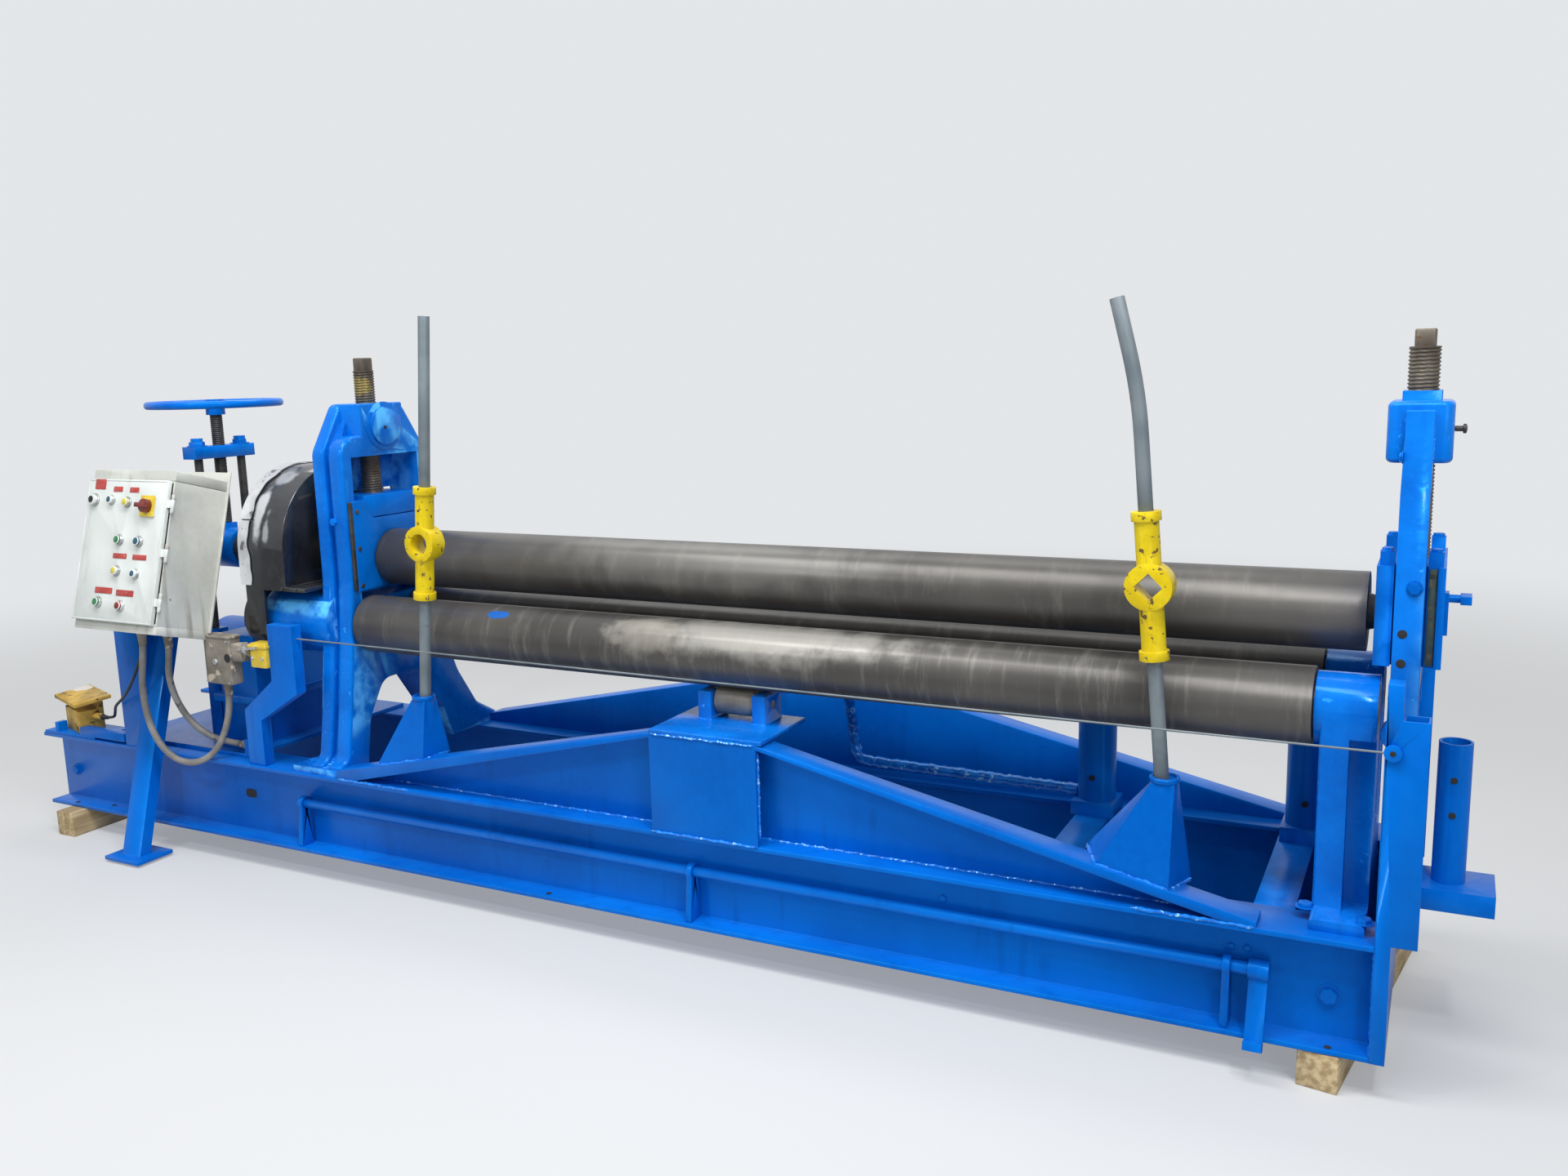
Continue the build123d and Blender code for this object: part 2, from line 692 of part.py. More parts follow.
# drop end: a yoke hinged near its foot, with a boss for the screw
drop_points = (
    (roll_y - leg_half, hinge_z),
    (roll_y - leg_half, drop_window_top),
    (roll_y - drop_head_half, boss_bottom + 60),
    (roll_y - drop_head_half, boss_top - 20),
    (roll_y + drop_head_half, boss_top - 20),
    (roll_y + drop_head_half, boss_bottom + 60),
    (roll_y + leg_half, drop_window_top),
    (roll_y + leg_half, hinge_z),
    (roll_y + drop_window_half, hinge_z),
    (roll_y + drop_window_half, drop_window_bottom - 50),
    (roll_y - drop_window_half, drop_window_bottom - 50),
    (roll_y - drop_window_half, hinge_z),
)
drop_left = drop_mid - drop_thickness / 2
drop_right = drop_mid + drop_thickness / 2
drop_profile = outline(drop_points, cross_section(drop_left))
with BuildPart() as drop_boss:
    block(drop_mid - boss_width / 2, drop_mid + boss_width / 2, roll_y - boss_half, roll_y + boss_half,
          boss_bottom, boss_top)
    fillet(drop_boss.edges().filter_by(Axis.Z), 24)
    fillet(drop_boss.edges().filter_by(Axis.Z, reverse=True), 12)
with BuildPart() as drop_end:
    extrude(drop_profile, amount=drop_thickness)
    add(drop_boss.part)
    block(drop_mid - nut_half, drop_mid + nut_half, roll_y - nut_half, roll_y + nut_half, boss_top, nut_top)
    block(drop_left - 1, drop_right + 1, roll_y - drop_window_half, roll_y + drop_window_half,
          drop_window_bottom, drop_window_top, Mode.SUBTRACT)
    for y in (roll_y - leg_half, roll_y + drop_window_half):
        bar_y(hinge_x, y, y + leg_half - drop_window_half, hinge_z, hinge_eye)
        bar_y(hinge_x, y - 1, y + leg_half - drop_window_half + 1, hinge_z, hinge_radius + running_fit,
              Mode.SUBTRACT)
    bar_z(drop_mid, roll_y, drop_window_top - 1, nut_top + 1, screw_radius + slide_fit, Mode.SUBTRACT)
drop_end.part.label = "drop_end"
export_step(drop_end.part, "parts/drop_end.step")

# its bearing block, with a lip over each side of the legs and a bore for the tapered nose
lip_gap = 4.0
lip_half = 166.0
strip_half = 154.0
inner_strip = 20.0
keeper_width = 30.0
keeper_half = 120.0
keeper_top = right_block_top + 30
latch_y = roll_y - 118
latch_z = 1100.0
latch_reach = 30.0
drop_block_half = drop_window_half - slide_fit
with BuildPart() as right_block:
    block(right_block_left, right_block_right, roll_y - drop_block_half, roll_y + drop_block_half,
          right_block_bottom, right_block_top)
    for x0, x1, half in (
        (right_block_left, drop_left - lip_gap, lip_half),
        (drop_right + lip_gap, drop_right + lip_gap + inner_strip, strip_half),
        (drop_right + lip_gap + inner_strip, right_block_right, lip_half),
    ):
        block(x0, x1, roll_y - half, roll_y + half, right_block_bottom, right_block_top)
    for x0, x1 in (
        (drop_left - lip_gap - keeper_width, drop_left - lip_gap),
        (drop_right + lip_gap, drop_right + lip_gap + keeper_width),
    ):
        for side in (-1, 1):
            low_y, high_y = sorted((roll_y + side * keeper_half, roll_y + side * strip_half))
            block(x0, x1, low_y, high_y, right_block_top, keeper_top)
    # latch with its square handle on the outer face
    bar_x(right_block_right, right_block_right + latch_reach, latch_y, latch_z, 9)
    block(right_block_right + latch_reach, right_block_right + latch_reach + 22, latch_y - 26, latch_y + 26,
          latch_z - 9, latch_z + 9)
    block(right_block_right, right_block_right + 8, latch_y - 16, latch_y + 16, latch_z - 80, latch_z + 14)
    bar_x(right_block_left - 1, right_block_right + 9, roll_y, top_roll_z, nose_bore, Mode.SUBTRACT)
right_block.part.label = "right_block"
export_step(right_block.part, "parts/right_block.step")

with BuildPart() as right_screw:
    bar_z(drop_mid, roll_y, right_block_top, right_thread_top, screw_radius)
    block(drop_mid - square_size / 2, drop_mid + square_size / 2,
          roll_y - square_size / 2, roll_y + square_size / 2, right_thread_top, right_screw_top)
right_screw.part.label = "right_screw"
export_step(right_screw.part, "parts/right_screw.step")

# support roller in two cheeks under the middle of the front roll
roller_z = lower_roll_z - lower_roll_radius - roller_radius - slide_fit
with BuildPart() as roller_bracket:
    block(plateau_left, plateau_right + 18, front, front + 270, girder_top, girder_top + 12)
    for x0, x1 in ((cheek_left, roller_left - side_play), (roller_right + side_play, cheek_right)):
        block(x0, x1, front_roll_y - 50, front_roll_y + 50, girder_top + 12, girder_top + 12 + cheek_height)
    bar_x(cheek_left - 1, cheek_right + 1, front_roll_y, roller_z, roller_pin + running_fit, Mode.SUBTRACT)
roller_bracket.part.label = "roller_bracket"
export_step(roller_bracket.part, "parts/roller_bracket.step")

with BuildPart() as support_roller:
    bar_x(roller_left, roller_right, front_roll_y, roller_z, roller_radius)
    bar_x(cheek_left, cheek_right, front_roll_y, roller_z, roller_pin)
support_roller.part.label = "support_roller"
export_step(support_roller.part, "parts/support_roller.step")

# two open tubes standing between the rolls and the rear girder
tube_radius = 53.0
tube_wall = 6.0
tube_seat = 60.0
tube_foot = 40.0
tube_top = 700.0
tube_y = back - girder_flange - 118
for place, x in {"middle": cross_beams["middle"], "right": cross_beams["right"] + 20}.items():
    with BuildPart() as stand_tube:
        block(x - tube_seat, x + tube_seat, tube_y - tube_seat, tube_y + tube_seat, deck, deck + tube_foot)
        bar_z(x, tube_y, deck + tube_foot, tube_top, tube_radius)
        bar_z(x, tube_y, deck + tube_foot, tube_top + 1, tube_radius - tube_wall, Mode.SUBTRACT)
    stand_tube.part.label = f"stand_tube_{place}"
    export_step(stand_tube.part, f"parts/stand_tube_{place}.step")

# bar wrenches: a cast head with a square hole, on a pipe that stands in its socket
head_half = 172.0
collar = 22.0
pipe_gap = 70.0
socket_floor = 1.0
seat_gap = 0.3
wrenches = {
    "left": {"x": roll_left + 320, "lean": 5.0, "socket_top": 656.0, "hub_z": 1132.0,
             "bend_z": 1500.0, "bend": 0.0, "pipe_top": 1802.0, "hole": "round"},
    "right": {"x": roll_right - 306, "lean": -4.5, "socket_top": 672.0, "hub_z": 1118.0,
              "bend_z": 1555.0, "bend": 9.5, "pipe_top": 1765.0, "hole": "square"},
}
gusset_left = 236.0
gusset_splay = 64.0         # the base is this much longer at the back
gusset_right = 56.0
gusset_half = 56.0


def girder_surface(x):
    # height of the sloped girder's top under a place along it
    if x < plateau_left:
        slope = (girder_top - deck - left_toe_height) / (plateau_left - left_toe)
        return deck + left_toe_height + slope * (x - left_toe)
    slope = (girder_top - deck - right_toe_height) / (right_toe - plateau_right)
    return deck + right_toe_height + slope * (right_toe - x)


for side, spec in wrenches.items():
    x = spec["x"]
    socket_top = spec["socket_top"]
    low = girder_surface(x)
    low_left = girder_surface(x - gusset_left)
    low_right = girder_surface(x + gusset_right)
    ground = min(low_left, low_right)
    cut_profile = outline(
        (
            (x - gusset_left - 20, low_left - 20 * (low_right - low_left) / (gusset_left + gusset_right)),
            (x + gusset_right + 20, low_right + 20 * (low_right - low_left) / (gusset_left + gusset_right)),
            (x + gusset_right + 20, ground - 60),
            (x - gusset_left - 20, ground - 60),
        ),
        side_view(wrench_y - 2 * gusset_half),
    )
    with BuildPart() as wrench_socket:
        with BuildSketch(Plane.XY.offset(ground)):
            with BuildLine():
                Polyline(
                    (x - gusset_left + gusset_splay, wrench_y - gusset_half),
                    (x + gusset_right - gusset_splay / 2, wrench_y - gusset_half),
                    (x + gusset_right, wrench_y + gusset_half),
                    (x - gusset_left, wrench_y + gusset_half),
                    close=True,
                )
            make_face()
        with BuildSketch(Plane.XY.offset(socket_top - 12)):
            with Locations((x, wrench_y)):
                Rectangle(2 * socket_radius - 10, 2 * socket_radius - 10)
        loft()
        extrude(cut_profile, amount=-4 * gusset_half, mode=Mode.SUBTRACT)
        bar_z(x, wrench_y, max(low_left, low_right), socket_top, socket_radius)
        bar_z(x, wrench_y, max(low_left, low_right) + socket_floor, socket_top + 1,
              socket_radius - socket_wall, Mode.SUBTRACT)
    wrench_socket.part.label = f"wrench_socket_{side}"
    export_step(wrench_socket.part, f"parts/wrench_socket_{side}.step")

    # the wrench's own axis: it leans over, from the socket's floor upwards
    lean = math.radians(spec["lean"])
    foot_z = max(low_left, low_right) + socket_floor + bar_radius * math.sin(abs(lean)) + seat_gap
    foot_x = x - math.tan(lean) * (socket_top - foot_z) / 2
    axis_plane = Plane(origin=(foot_x, wrench_y, foot_z), x_dir=(0, 1, 0),
                       z_dir=(math.sin(lean), 0, math.cos(lean)))
    hub_at = (spec["hub_z"] - foot_z) / math.cos(lean)
    pipe_length = (spec["pipe_top"] - foot_z) / math.cos(lean)
    with BuildPart() as wrench_head:
        for low_end, high_end, radius in (
            (hub_at - head_half, hub_at - head_half + collar, collar_radius),
            (hub_at - head_half + collar, hub_at + head_half - collar, sleeve_radius),
            (hub_at + head_half - collar, hub_at + head_half, collar_radius),
        ):
            with BuildSketch(axis_plane.offset(low_end)):
                Circle(radius)
            extrude(amount=high_end - low_end)
        hub_centre = axis_plane.origin + axis_plane.z_dir * hub_at
        hub_face = Plane(origin=hub_centre - Vector(0, sleeve_radius, 0), x_dir=(1, 0, 0), z_dir=(0, 1, 0))
        with BuildSketch(hub_face):
            Circle(hub_outer)
        extrude(amount=2 * sleeve_radius)
        with BuildSketch(hub_face):
            if spec["hole"] == "round":
                Circle(round_hole)
            else:
                Rectangle(hub_square, hub_square, rotation=45)
        extrude(amount=2 * sleeve_radius, mode=Mode.SUBTRACT)
        for start in (hub_at - head_half, hub_at + pipe_gap):
            with BuildSketch(axis_plane.offset(start)):
                Circle(bar_radius)
            extrude(amount=head_half - pipe_gap, mode=Mode.SUBTRACT)
    wrench_head.part.label = f"wrench_head_{side}"
    export_step(wrench_head.part, f"parts/wrench_head_{side}.step")

    if spec["bend"]:
        bent = lean - math.radians(spec["bend"])
        straight = (spec["bend_z"] - foot_z) / math.cos(lean)
        corner = axis_plane.origin + axis_plane.z_dir * straight
        rest = (spec["pipe_top"] - spec["bend_z"]) / math.cos(bent)
        tip = corner + Vector(math.sin(bent), 0, math.cos(bent)) * rest
        bent_path = route((axis_plane.origin + axis_plane.z_dir * (hub_at + pipe_gap), corner, tip))
    with BuildPart() as wrench_bar:
        with BuildSketch(axis_plane):
            Circle(bar_radius)
        extrude(amount=hub_at - pipe_gap)
        with BuildSketch(axis_plane.offset(hub_at + pipe_gap)):
            Circle(bar_radius)
        if spec["bend"]:
            sweep(path=bent_path)
        else:
            extrude(amount=pipe_length - hub_at - pipe_gap)
    wrench_bar.part.label = f"wrench_bar_{side}"
    export_step(wrench_bar.part, f"parts/wrench_bar_{side}.step")

# treadle: a long shaft in three bearings on the bottom flange, with one foot lever
lever_left = roll_right - 104
lever_length = 178.0
lever_angle = 23.0
lever_thickness = 12.0
flange_floor = timber_size + flange_thickness
bearing_x = {"left": treadle_left, "middle": mid + 512, "right": roll_right - 152}
with BuildPart() as treadle:
    bar_x(treadle_left - 20, treadle_right, treadle_y, treadle_z, treadle_radius)
    bar_x(lever_left, treadle_right, treadle_y, treadle_z, treadle_radius + 9)
    angle = math.radians(lever_angle)
    lever_plane = Plane(origin=(lever_left + 2, treadle_y, treadle_z), x_dir=(1, 0, 0),
                        z_dir=(0, math.cos(angle), -math.sin(angle)))
    with BuildSketch(lever_plane):
        with Locations(((treadle_right - lever_left) / 2 - 2, lever_length / 2)):
            Rectangle(treadle_right - lever_left - 4, lever_length)
    extrude(amount=lever_thickness / 2, both=True)
    with BuildSketch(lever_plane):
        with Locations(((treadle_right - lever_left) / 2 - 2, lever_length - 10)):
            Rectangle(treadle_right - lever_left - 4, 20)
    extrude(amount=-26)
treadle.part.label = "treadle"
export_step(treadle.part, "parts/treadle.step")

for place, x in bearing_x.items():
    bearing_profile = outline(
        (
            (front + 10, flange_floor),
            (treadle_y - treadle_eye * 0.8, treadle_z),
            (treadle_y + treadle_eye * 0.8, treadle_z),
            (front + 62, flange_floor),
        ),
        cross_section(x - 9),
    )
    with BuildPart() as treadle_bearing:
        extrude(bearing_profile, amount=18)
        bar_x(x - 9, x + 9, treadle_y, treadle_z, treadle_eye)
        bar_x(x - 10, x + 10, treadle_y, treadle_z, treadle_radius + running_fit, Mode.SUBTRACT)
    treadle_bearing.part.label = f"treadle_bearing_{place}"
    export_step(treadle_bearing.part, f"parts/treadle_bearing_{place}.step")

# jogged bracket at the left end of the trip wire, and the switch on it
trip_right = roll_left - 172
trip_upper_left = roll_left - 282
trip_low_left = roll_left - 421
trip_low_right = roll_left - 347
jog_low = 518.0
jog_rise = 105.0
trip_top = 848.0
trip_front = front + 12
trip_back = front + 52
trip_profile = outline(
    (
        (trip_low_left, deck),
        (trip_low_right, deck),
        (trip_low_right, jog_low),
        (trip_right, jog_low + jog_rise),
        (trip_right, trip_top),
        (trip_upper_left, trip_top),
        (trip_upper_left, jog_low + jog_rise + 35),
        (trip_low_left, jog_low + 30),
    ),
    side_view(trip_back),
)
with BuildPart() as trip_bracket:
    extrude(trip_profile, amount=trip_back - trip_front)
trip_bracket.part.label = "trip_bracket"
export_step(trip_bracket.part, "parts/trip_bracket.step")

switch_left = roll_left - 412
with BuildPart() as trip_switch:
    block(switch_left, trip_upper_left, trip_front - 14, trip_back - 4, 702, 784)
    bar_x(switch_left - 22, switch_left, (trip_front + trip_back) / 2 - 6, 742, 18)
trip_switch.part.label = "trip_switch"
export_step(trip_switch.part, "parts/trip_switch.step")

junction_right = switch_left - 22
junction_left = junction_right - 133
junction_x = junction_right - 68
junction_y = (trip_front + trip_back) / 2 - 8
with BuildPart() as junction_box:
    block(junction_left, junction_right, trip_front - 24, trip_back + 4, 650, 800)
    fillet(junction_box.edges().filter_by(Axis.Z), 12)
    bar_z(junction_x, junction_y, 632, 650, 18)
junction_box.part.label = "junction_box"
export_step(junction_box.part, "parts/junction_box.step")

# the taut trip wire, from the bracket to the hinge pin's head
wire_radius = 2.5
wire_z = hinge_z
wire_gap = 0.3
wire_start = Vector(trip_right + wire_gap, trip_front + 20, wire_z + 4)
wire_end = Vector(hinge_x - pin_head_radius - wire_gap, bar_mouth["front"] - pin_head / 2, wire_z)
wire_run = wire_end - wire_start
with BuildPart() as trip_wire:
    with BuildSketch(Plane(origin=wire_start, z_dir=wire_run.normalized())):
        Circle(wire_radius)
    extrude(amount=wire_run.length)
trip_wire.part.label = "trip_wire"
export_step(trip_wire.part, "parts/trip_wire.step")

# control box, leaning back on its post
tilt = math.radians(box_tilt)
door_edge = door_thickness
panel = Plane(
    origin=(box_left, front - panel_reach + door_edge * math.cos(tilt), box_low_z),
    x_dir=(1, 0, 0),
    z_dir=(0, -math.cos(tilt), math.sin(tilt)),
)
box_wall = 6.0
plate_edge = 10.0
plate_below = 6.0
plate_height = 542.0
door_gap = 0.3
knuckle = 16.0
knuckle_radius = 6.0
pin_radius = 2.5
leaf_length = 26.0
hinge_rows = (46.0, 206.0, 366.0)
door_axis = Plane(
    origin=panel.origin + panel.x_dir * (box_width + knuckle_radius + 1) + panel.z_dir * 4,
    x_dir=panel.x_dir,
    z_dir=panel.y_dir,
)
gland_length = 40.0
glands = {
    "conduit_loop": (box_left + 195, front - 96, 806, 16),
    "conduit_low": (box_left + 250, front - 40, 790, 16),
    "pedal_lead": (box_left + 116, front - 40, 790, 10),
}
with BuildPart() as control_box:
    with BuildSketch(panel):
        Rectangle(box_width, box_height, align=(Align.MIN, Align.MIN))
    extrude(amount=-box_depth)
    with BuildSketch(panel):
        with Locations((box_width / 2, box_height / 2)):
            Rectangle(box_width - 2 * box_wall, box_height - 2 * box_wall)
    extrude(amount=box_wall - box_depth, mode=Mode.SUBTRACT)
    # larger plate behind it
    with BuildSketch(panel.offset(-box_depth)):
        with Locations((-plate_edge, -plate_below)):
            Rectangle(box_width + 2 * plate_edge, plate_height, align=(Align.MIN, Align.MIN))
    extrude(amount=-back_plate)
    for x, y, low_z, radius in glands.values():
        bar_z(x, y, low_z, low_z + gland_length, radius)
    for up in hinge_rows:
        for low_end in (up, up + knuckle + door_gap + leaf_length + door_gap):
            with BuildSketch(door_axis.offset(low_end)):
                Circle(knuckle_radius)
                with Locations((-4, 4)):
                    Rectangle(8, 12)
            extrude(amount=knuckle)
        with BuildSketch(door_axis.offset(up)):
            Circle(pin_radius)
        extrude(amount=2 * knuckle + leaf_length + 2 * door_gap)
control_box.part.label = "control_box"
export_step(control_box.part, "parts/control_box.step")

# door with its row of buttons, hinged on the right
button_rows = {
    "white_selector": (41, 399, 17),
    "lamp": (126, 401, 13),
    "yellow_selector": (205, 395, 13),
    "green_upper": (190, 270, 14),
    "blue_upper": (285, 268, 14),
    "yellow_lower": (195, 168, 14),
    "dark_lower": (288, 162, 14),
    "green_low": (125, 62, 14),
    "red_low": (236, 55, 14),
}
knob_at = (307.0, 384.0)
with BuildPart() as control_door:
    with BuildSketch(panel.offset(door_gap)):
        Rectangle(box_width - 12, box_height, align=(Align.MIN, Align.MIN))
    extrude(amount=door_thickness - door_gap)
    with BuildSketch(panel.offset(door_thickness)):
        for across, up, radius in button_rows.values():
            with Locations((across, up)):
                Circle(radius)
    extrude(amount=16)
    with BuildSketch(panel.offset(door_thickness)):
        with Locations(knob_at):
            Rectangle(66, 66)
    extrude(amount=5)
    for up in hinge_rows:
        with BuildSketch(door_axis.offset(up + knuckle + door_gap)):
            Circle(knuckle_radius)
            with Locations((-10.5, -3.25)):
                Rectangle(21, 5.5)
        extrude(amount=leaf_length)
        with BuildSketch(door_axis.offset(up + knuckle)):
            Circle(pin_radius + running_fit)
        extrude(amount=leaf_length + 2 * door_gap, mode=Mode.SUBTRACT)
control_door.part.label = "control_door"
export_step(control_door.part, "parts/control_door.step")

with BuildPart() as rotary_knob:
    with BuildSketch(panel.offset(door_thickness + 5 + door_gap)):
        with Locations(knob_at):
            Circle(22)
    extrude(amount=18)
    with BuildSketch(panel.offset(door_thickness + 23 + door_gap)):
        with Locations(knob_at):
            Rectangle(46, 14)
    extrude(amount=14)
rotary_knob.part.label = "rotary_knob"
export_step(rotary_knob.part, "parts/rotary_knob.step")

# leaning post that rests against the front beam's flange, with a foot plate just above the floor
foot_low = 8.0
foot_plate = 14.0
slope = math.tan(tilt)
post_low_y = front - seat_gap - post_thickness - slope * (deck - foot_low)
post_high_z = 1090.0


def lean_y(z):
    # front face of the leaning post at a height
    return post_low_y + slope * (z - foot_low)


post_points = (
    (lean_y(foot_low + foot_plate), foot_low + foot_plate),
    (lean_y(post_high_z), post_high_z),
    (lean_y(post_high_z) + post_thickness, post_high_z),
    (lean_y(foot_low + foot_plate) + post_thickness, foot_low + foot_plate),
)
post_profile = outline(post_points, cross_section(post_left))

# wide mount between the post and the back of the box
mount_low = 60.0
mount_high = 380.0
mount_side = 18.0
box_back = panel.origin - panel.z_dir * (box_depth + back_plate)
mount_depth = (lean_y(box_back.Z) - box_back.Y) * math.cos(tilt)
mount_corners = (
    box_back + panel.y_dir * mount_low,
    box_back + panel.y_dir * mount_high,
    box_back + panel.y_dir * mount_high - panel.z_dir * mount_depth,
    box_back + panel.y_dir * mount_low - panel.z_dir * mount_depth,
)
mount_outline = [(corner.Y, corner.Z) for corner in mount_corners]
mount_profile = outline(mount_outline, cross_section(post_left - mount_side))


def box_rear(y):
    # height of the sloping back of the box over a place on the deck
    return box_back.Z + (y - box_back.Y) / slope


# upright column on the beam beside it, cut to the slope of the box at its top
column_front = front + 2
column_back = front + 60
column_profile = outline(
    (
        (column_front, deck),
        (column_front, box_rear(column_front)),
        (column_back, box_rear(column_back)),
        (column_back, deck),
    ),
    cross_section(column_left),
)
with BuildPart() as control_post:
    extrude(post_profile, amount=post_right - post_left)
    extrude(mount_profile, amount=post_right - post_left + 2 * mount_side)
    extrude(column_profile, amount=post_left + 12 - column_left)
    block(post_left - 40, post_right + 40, post_low_y - 36, post_low_y + 104, foot_low, foot_low + foot_plate)
control_post.part.label = "control_post"
export_step(control_post.part, "parts/control_post.step")

# foot switch on the left end of the front beam, turned a little on its plate
pedal_x = roll_left - 1350
pedal_y = front + 75
pedal_turn = -19.0
pedal_frame = Location((pedal_x, pedal_y, deck), (0, 0, pedal_turn))
base_plate = 10.0
switch_half = 80.0
switch_top = 92.0
lid_half = 122.0
lid_reach = 62.0
lid_low = 118.0
lid_rise = 16.0
hinge_back = 34.0
pedal_hinge_z = 108.0
pedal_bar = 64.0
pedal_pin = 5.0
lead_plug = 12.0
lead_end_x = pedal_x + 124
lead_end_y = pedal_y - 16
lead_end_z = deck + 70
with BuildPart() as foot_bracket:
    block(pedal_x - 130, pedal_x + 150, front, front + 144, deck, deck + base_plate)
    block(pedal_x - 67, pedal_x - 47, front, front + 36, deck + base_plate, deck + 46)
    block(pedal_x + 72, column_left - 6, front, front + 34, deck + base_plate, deck + 40)
foot_bracket.part.label = "foot_bracket"
export_step(foot_bracket.part, "parts/foot_bracket.step")

with BuildPart() as foot_switch:
    turned_block(pedal_frame, -switch_half, switch_half, -40, 44, base_plate, switch_top)
    for side in (-1, 1):
        low_x, high_x = sorted((side * (pedal_bar + seat_gap), side * switch_half))
        turned_block(pedal_frame, low_x, high_x, hinge_back - 10, 44, switch_top, pedal_hinge_z + 10)
    bar_x(pedal_x + 60, lead_end_x, lead_end_y, lead_end_z, lead_plug)
    turned_bar(pedal_frame, -switch_half - 1, switch_half + 1, hinge_back, pedal_hinge_z,
               pedal_pin + running_fit, Mode.SUBTRACT)
foot_switch.part.label = "foot_switch"
export_step(foot_switch.part, "parts/foot_switch.step")

along = Vector(1, 0, 0).rotate(Axis.Z, pedal_turn)
across = Vector(0, 1, 0).rotate(Axis.Z, pedal_turn)
pedal_side = Plane(origin=Vector(pedal_x, pedal_y, deck) - along * lid_half, x_dir=across, z_dir=along)
lid_profile = outline(
    (
        (-lid_reach, lid_low),
        (lid_reach, lid_low + lid_rise),
        (lid_reach, lid_low + lid_rise + 12),
        (-lid_reach, lid_low + 12),
    ),
    pedal_side,
)
with BuildPart() as foot_pedal:
    extrude(lid_profile, amount=2 * lid_half)
    turned_block(pedal_frame, -pedal_bar, pedal_bar, hinge_back - 6, hinge_back + 6,
                 pedal_hinge_z, lid_low + lid_rise)
    turned_bar(pedal_frame, -pedal_bar, pedal_bar, hinge_back, pedal_hinge_z, 12)
    turned_bar(pedal_frame, -switch_half, switch_half, hinge_back, pedal_hinge_z, pedal_pin)
foot_pedal.part.label = "foot_pedal"
export_step(foot_pedal.part, "parts/foot_pedal.step")

# flexible conduits from the control box, and the lead to the foot switch
conduit_radius = 11.0
lead_radius = 5.0
loop_x, loop_y, loop_z, _ = glands["conduit_loop"]
low_x, low_y, low_z, _ = glands["conduit_low"]
lead_x, lead_y, lead_z, _ = glands["pedal_lead"]
cords = {
    "conduit_loop": (conduit_radius, (
        (loop_x, loop_y, loop_z),
        (loop_x, loop_y, 740),
        (loop_x - 7, front - 92, 650),
        (loop_x - 13, front - 84, 560),
        (loop_x - 3, front - 74, 472),
        (loop_x + 31, front - 62, 400),
        (loop_x + 85, front - 46, 360),
        (loop_x + 149, front - 22, 364),
        (loop_x + 201, front + 6, 414),
        (loop_x + 233, front + 20, 490),
        (junction_x, junction_y, 566),
        (junction_x, junction_y, 632),
    )),
    "conduit_low": (conduit_radius, (
        (low_x, low_y, low_z),
        (low_x, low_y, 730),
        (low_x - 16, front - 22, 650),
        (low_x - 20, front + 6, 565),
        (low_x - 4, front + 34, 490),
        (low_x + 38, front + 58, 430),
        (low_x + 100, front + 80, bed_top + terminal_z),
        (terminal_left, front + 80, bed_top + terminal_z),
    )),
    "pedal_lead": (lead_radius, (
        (lead_x, lead_y, lead_z),
        (lead_x, lead_y, 730),
        (lead_x - 20, front - 48, 660),
        (lead_x - 66, front - 44, 590),
        (lead_x - 132, front - 30, 540),
        (lead_x - 204, front - 14, 505),
        (lead_x - 272, front + 30, 470),
        (lead_end_x + 68, lead_end_y, lead_end_z),
        (lead_end_x, lead_end_y, lead_end_z),
    )),
}
for name, (radius, points) in cords.items():
    path = route(points)
    with BuildPart() as cord:
        with BuildSketch(Plane(origin=path @ 0, z_dir=path % 0)):
            Circle(radius)
        sweep(path=path)
    cord.part.label = name
    export_step(cord.part, f"parts/{name}.step")
    ratio = cord.part.volume / (math.pi * radius**2 * path.length)
    print(name, round(path.length), "mm long, volume over section times length", round(ratio, 4))
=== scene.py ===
import math

import bpy
import numpy as np
from mathutils import Matrix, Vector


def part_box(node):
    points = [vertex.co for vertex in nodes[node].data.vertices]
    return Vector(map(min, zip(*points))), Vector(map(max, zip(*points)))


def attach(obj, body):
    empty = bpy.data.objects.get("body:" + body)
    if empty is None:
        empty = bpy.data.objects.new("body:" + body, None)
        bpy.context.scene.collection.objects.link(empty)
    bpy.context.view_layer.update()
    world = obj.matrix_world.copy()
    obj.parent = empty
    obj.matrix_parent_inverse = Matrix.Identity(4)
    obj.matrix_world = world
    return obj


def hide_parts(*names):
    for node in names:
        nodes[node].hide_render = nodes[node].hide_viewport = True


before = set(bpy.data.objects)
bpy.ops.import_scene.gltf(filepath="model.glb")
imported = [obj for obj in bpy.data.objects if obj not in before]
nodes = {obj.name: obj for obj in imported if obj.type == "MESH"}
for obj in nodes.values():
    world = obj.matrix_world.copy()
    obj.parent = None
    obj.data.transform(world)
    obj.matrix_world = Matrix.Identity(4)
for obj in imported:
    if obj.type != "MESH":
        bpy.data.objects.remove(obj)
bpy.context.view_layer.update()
print("frame loaded with", len(nodes), "nodes")

# camera, measured from the photograph's straight lines
view = {"place": (2.238, -3.2775, 1.64), "yaw": 27.169, "pitch": 9.725, "roll": -1.491, "lens": 30.11,
        "sensor": 36.0, "far": 60.0}


def linked(name, data):
    # a new object in the scene
    holder = bpy.data.objects.new(name, data)
    bpy.context.scene.collection.objects.link(holder)
    return holder


